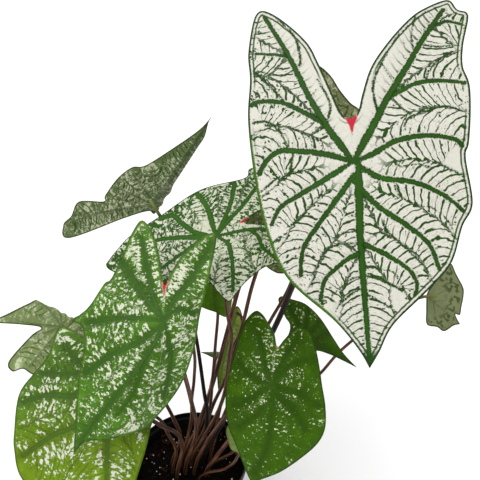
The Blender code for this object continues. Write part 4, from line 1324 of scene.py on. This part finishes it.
def build_pot():
    lip_foot = POT_HEIGHT - POT_LIP_HEIGHT
    profile = [
        (0.0, POT_FLOOR),
        (inner_radius(POT_FLOOR), POT_FLOOR),
        (inner_radius(lip_foot), lip_foot),
        (POT_RADIUS - POT_WALL, lip_foot + 2.2),
        (POT_RADIUS - POT_WALL, POT_HEIGHT),
        (POT_RADIUS, POT_HEIGHT),
        (POT_RADIUS, lip_foot),
        (POT_RADIUS - POT_LIP_STEP, lip_foot - 0.8),
        (POT_BASE_RADIUS + 1.0, 6.0),
        (POT_BASE_RADIUS, 0.8),
        (POT_BASE_RADIUS - 0.8, 0.0),
        (0.0, 0.0),
    ]
    mesh = make_mesh("nursery_pot", *turned(rounded(profile, POT_ROUNDING), POT_SIDES))
    drill_drain_holes(add_piece("nursery_pot", mesh, [pot_material()], ["pot"]))


def build_soil(rng):
    edge = inner_radius(SOIL_TOP) - SEAT_GAP
    floor = POT_FLOOR + SEAT_GAP
    profile = [(edge * ring / SOIL_RINGS, SOIL_TOP) for ring in range(SOIL_RINGS)]
    profile += [
        (edge - 0.3, SOIL_TOP - 0.4),
        (inner_radius(SOIL_TOP - 3.0) - SEAT_GAP, SOIL_TOP - 3.0),
        (inner_radius(floor) - SEAT_GAP, floor),
        (0.0, floor),
    ]
    points, faces = turned(profile, SOIL_SIDES)
    lifted = []
    for x, y, z in points:
        if z > SOIL_TOP - 0.1:
            z += soil_bump(x, y)
            z += 0.9 * noise.noise(Vector((x / 4.0, y / 4.0, 3.0)))
            z += 0.8 * noise.noise(Vector((x / 1.7, y / 1.7, 8.0)))
        lifted.append((x, y, z))
    mesh = make_mesh("mix_surface", lifted, faces)
    add_piece("mix_surface", mesh, [soil_material()], ["soil"])
    for name, count, sizes, shape, look in GRAINS:
        scatter(name, count, sizes, shape, grain_material(*look), edge - 2.5, rng)


def scatter(name, count, sizes, shape, material, within, rng):
    """Many small uneven grains that lie on the mix, joined into one piece."""
    bm = bmesh.new()
    bmesh.ops.create_icosphere(bm, subdivisions=1, radius=1.0)
    ball = np.array([tuple(vert.co) for vert in bm.verts])
    ball_faces = np.array([[vert.index for vert in face.verts] for face in bm.faces])
    bm.free()
    points, faces = [], []
    for index in range(count):
        radius = within * sqrt(rng.uniform(0.0, 1.0))
        angle = rng.uniform(0.0, 2 * pi)
        x, y = radius * cos(angle), radius * sin(angle)
        size = rng.uniform(*sizes)
        grain = ball * (1.0 + rng.uniform(-0.28, 0.28, (len(ball), 1)))
        grain = grain * np.array(shape) * size
        turn = Euler((rng.uniform(-0.5, 0.5), rng.uniform(-0.5, 0.5), rng.uniform(0, 6.3)))
        grain = grain @ np.array(turn.to_matrix()).T
        height = SOIL_TOP + soil_bump(x, y) + 0.35 * size
        points.append(grain + np.array((x, y, height)))
        faces.append(ball_faces + index * len(ball))
    mesh = make_mesh(name, np.concatenate(points), np.concatenate(faces).tolist())
    add_piece(name, mesh, [material], [])


# ---------------------------------------------------------------- picture


def add_light(name, kind, power, place, aim):
    light = bpy.data.lights.new(name, kind)
    light.energy = power
    obj = add_object(name, light)
    obj.location = place
    obj.rotation_euler = (Vector(aim) - Vector(place)).to_track_quat("-Z", "Y").to_euler()
    return light


def build_stage():
    bm = bmesh.new()
    bmesh.ops.create_circle(bm, cap_ends=True, segments=96, radius=FLOOR_RADIUS)
    mesh = bpy.data.meshes.new("floor")
    bm.to_mesh(mesh)
    bm.free()
    mesh.materials.append(floor_material())
    add_object("floor", mesh)

    world = bpy.data.worlds.new("Soft studio")
    world.use_nodes = True
    sky = world.node_tree.nodes["Background"]
    sky.inputs["Color"].default_value = (1.0, 1.0, 1.0, 1.0)
    sky.inputs["Strength"].default_value = WORLD_STRENGTH
    bpy.context.scene.world = world
    key = add_light("key", "AREA", KEY_POWER, (-0.9, -1.6, 2.0), (0.05, 0.0, 0.35))
    key.shape = "DISK"
    key.size = KEY_SIZE
    sun = add_light("overhead", "SUN", SUN_STRENGTH, (0, 0, 0), (0.25, 0.35, -1.0))
    sun.angle = radians(SUN_ANGLE)


def build_camera():
    camera = bpy.data.cameras.new("camera")
    camera.sensor_width = SENSOR_WIDTH
    camera.lens = SENSOR_WIDTH * FOCAL_PIXELS / PHOTO_SIZE
    camera.clip_end = 100.0
    eye = add_object("camera", camera)
    eye.location = Vector(CAMERA_PLACE) * MM
    eye.rotation_euler = (radians(90.0 - CAMERA_PITCH), 0.0, 0.0)
    bpy.context.scene.camera = eye
    bpy.context.scene.view_settings.view_transform = "Standard"


def main():
    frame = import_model()
    stalks = {kind: stalk_material(*look) for kind, look in STALKS.items()}
    for number, leaf in LEAVES.items():
        build_blade(number, leaf)
        build_stalk(number, leaf, stalks[STALK_KINDS.get(number, "brown")])
    build_pot()
    build_soil(np.random.default_rng(GRAIN_SEED))
    build_shoot()
    skin = tuber_material()
    for slot in frame["nodes"]["tuber"].material_slots:
        slot.material = skin
    build_stage()
    build_camera()
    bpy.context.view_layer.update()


main()
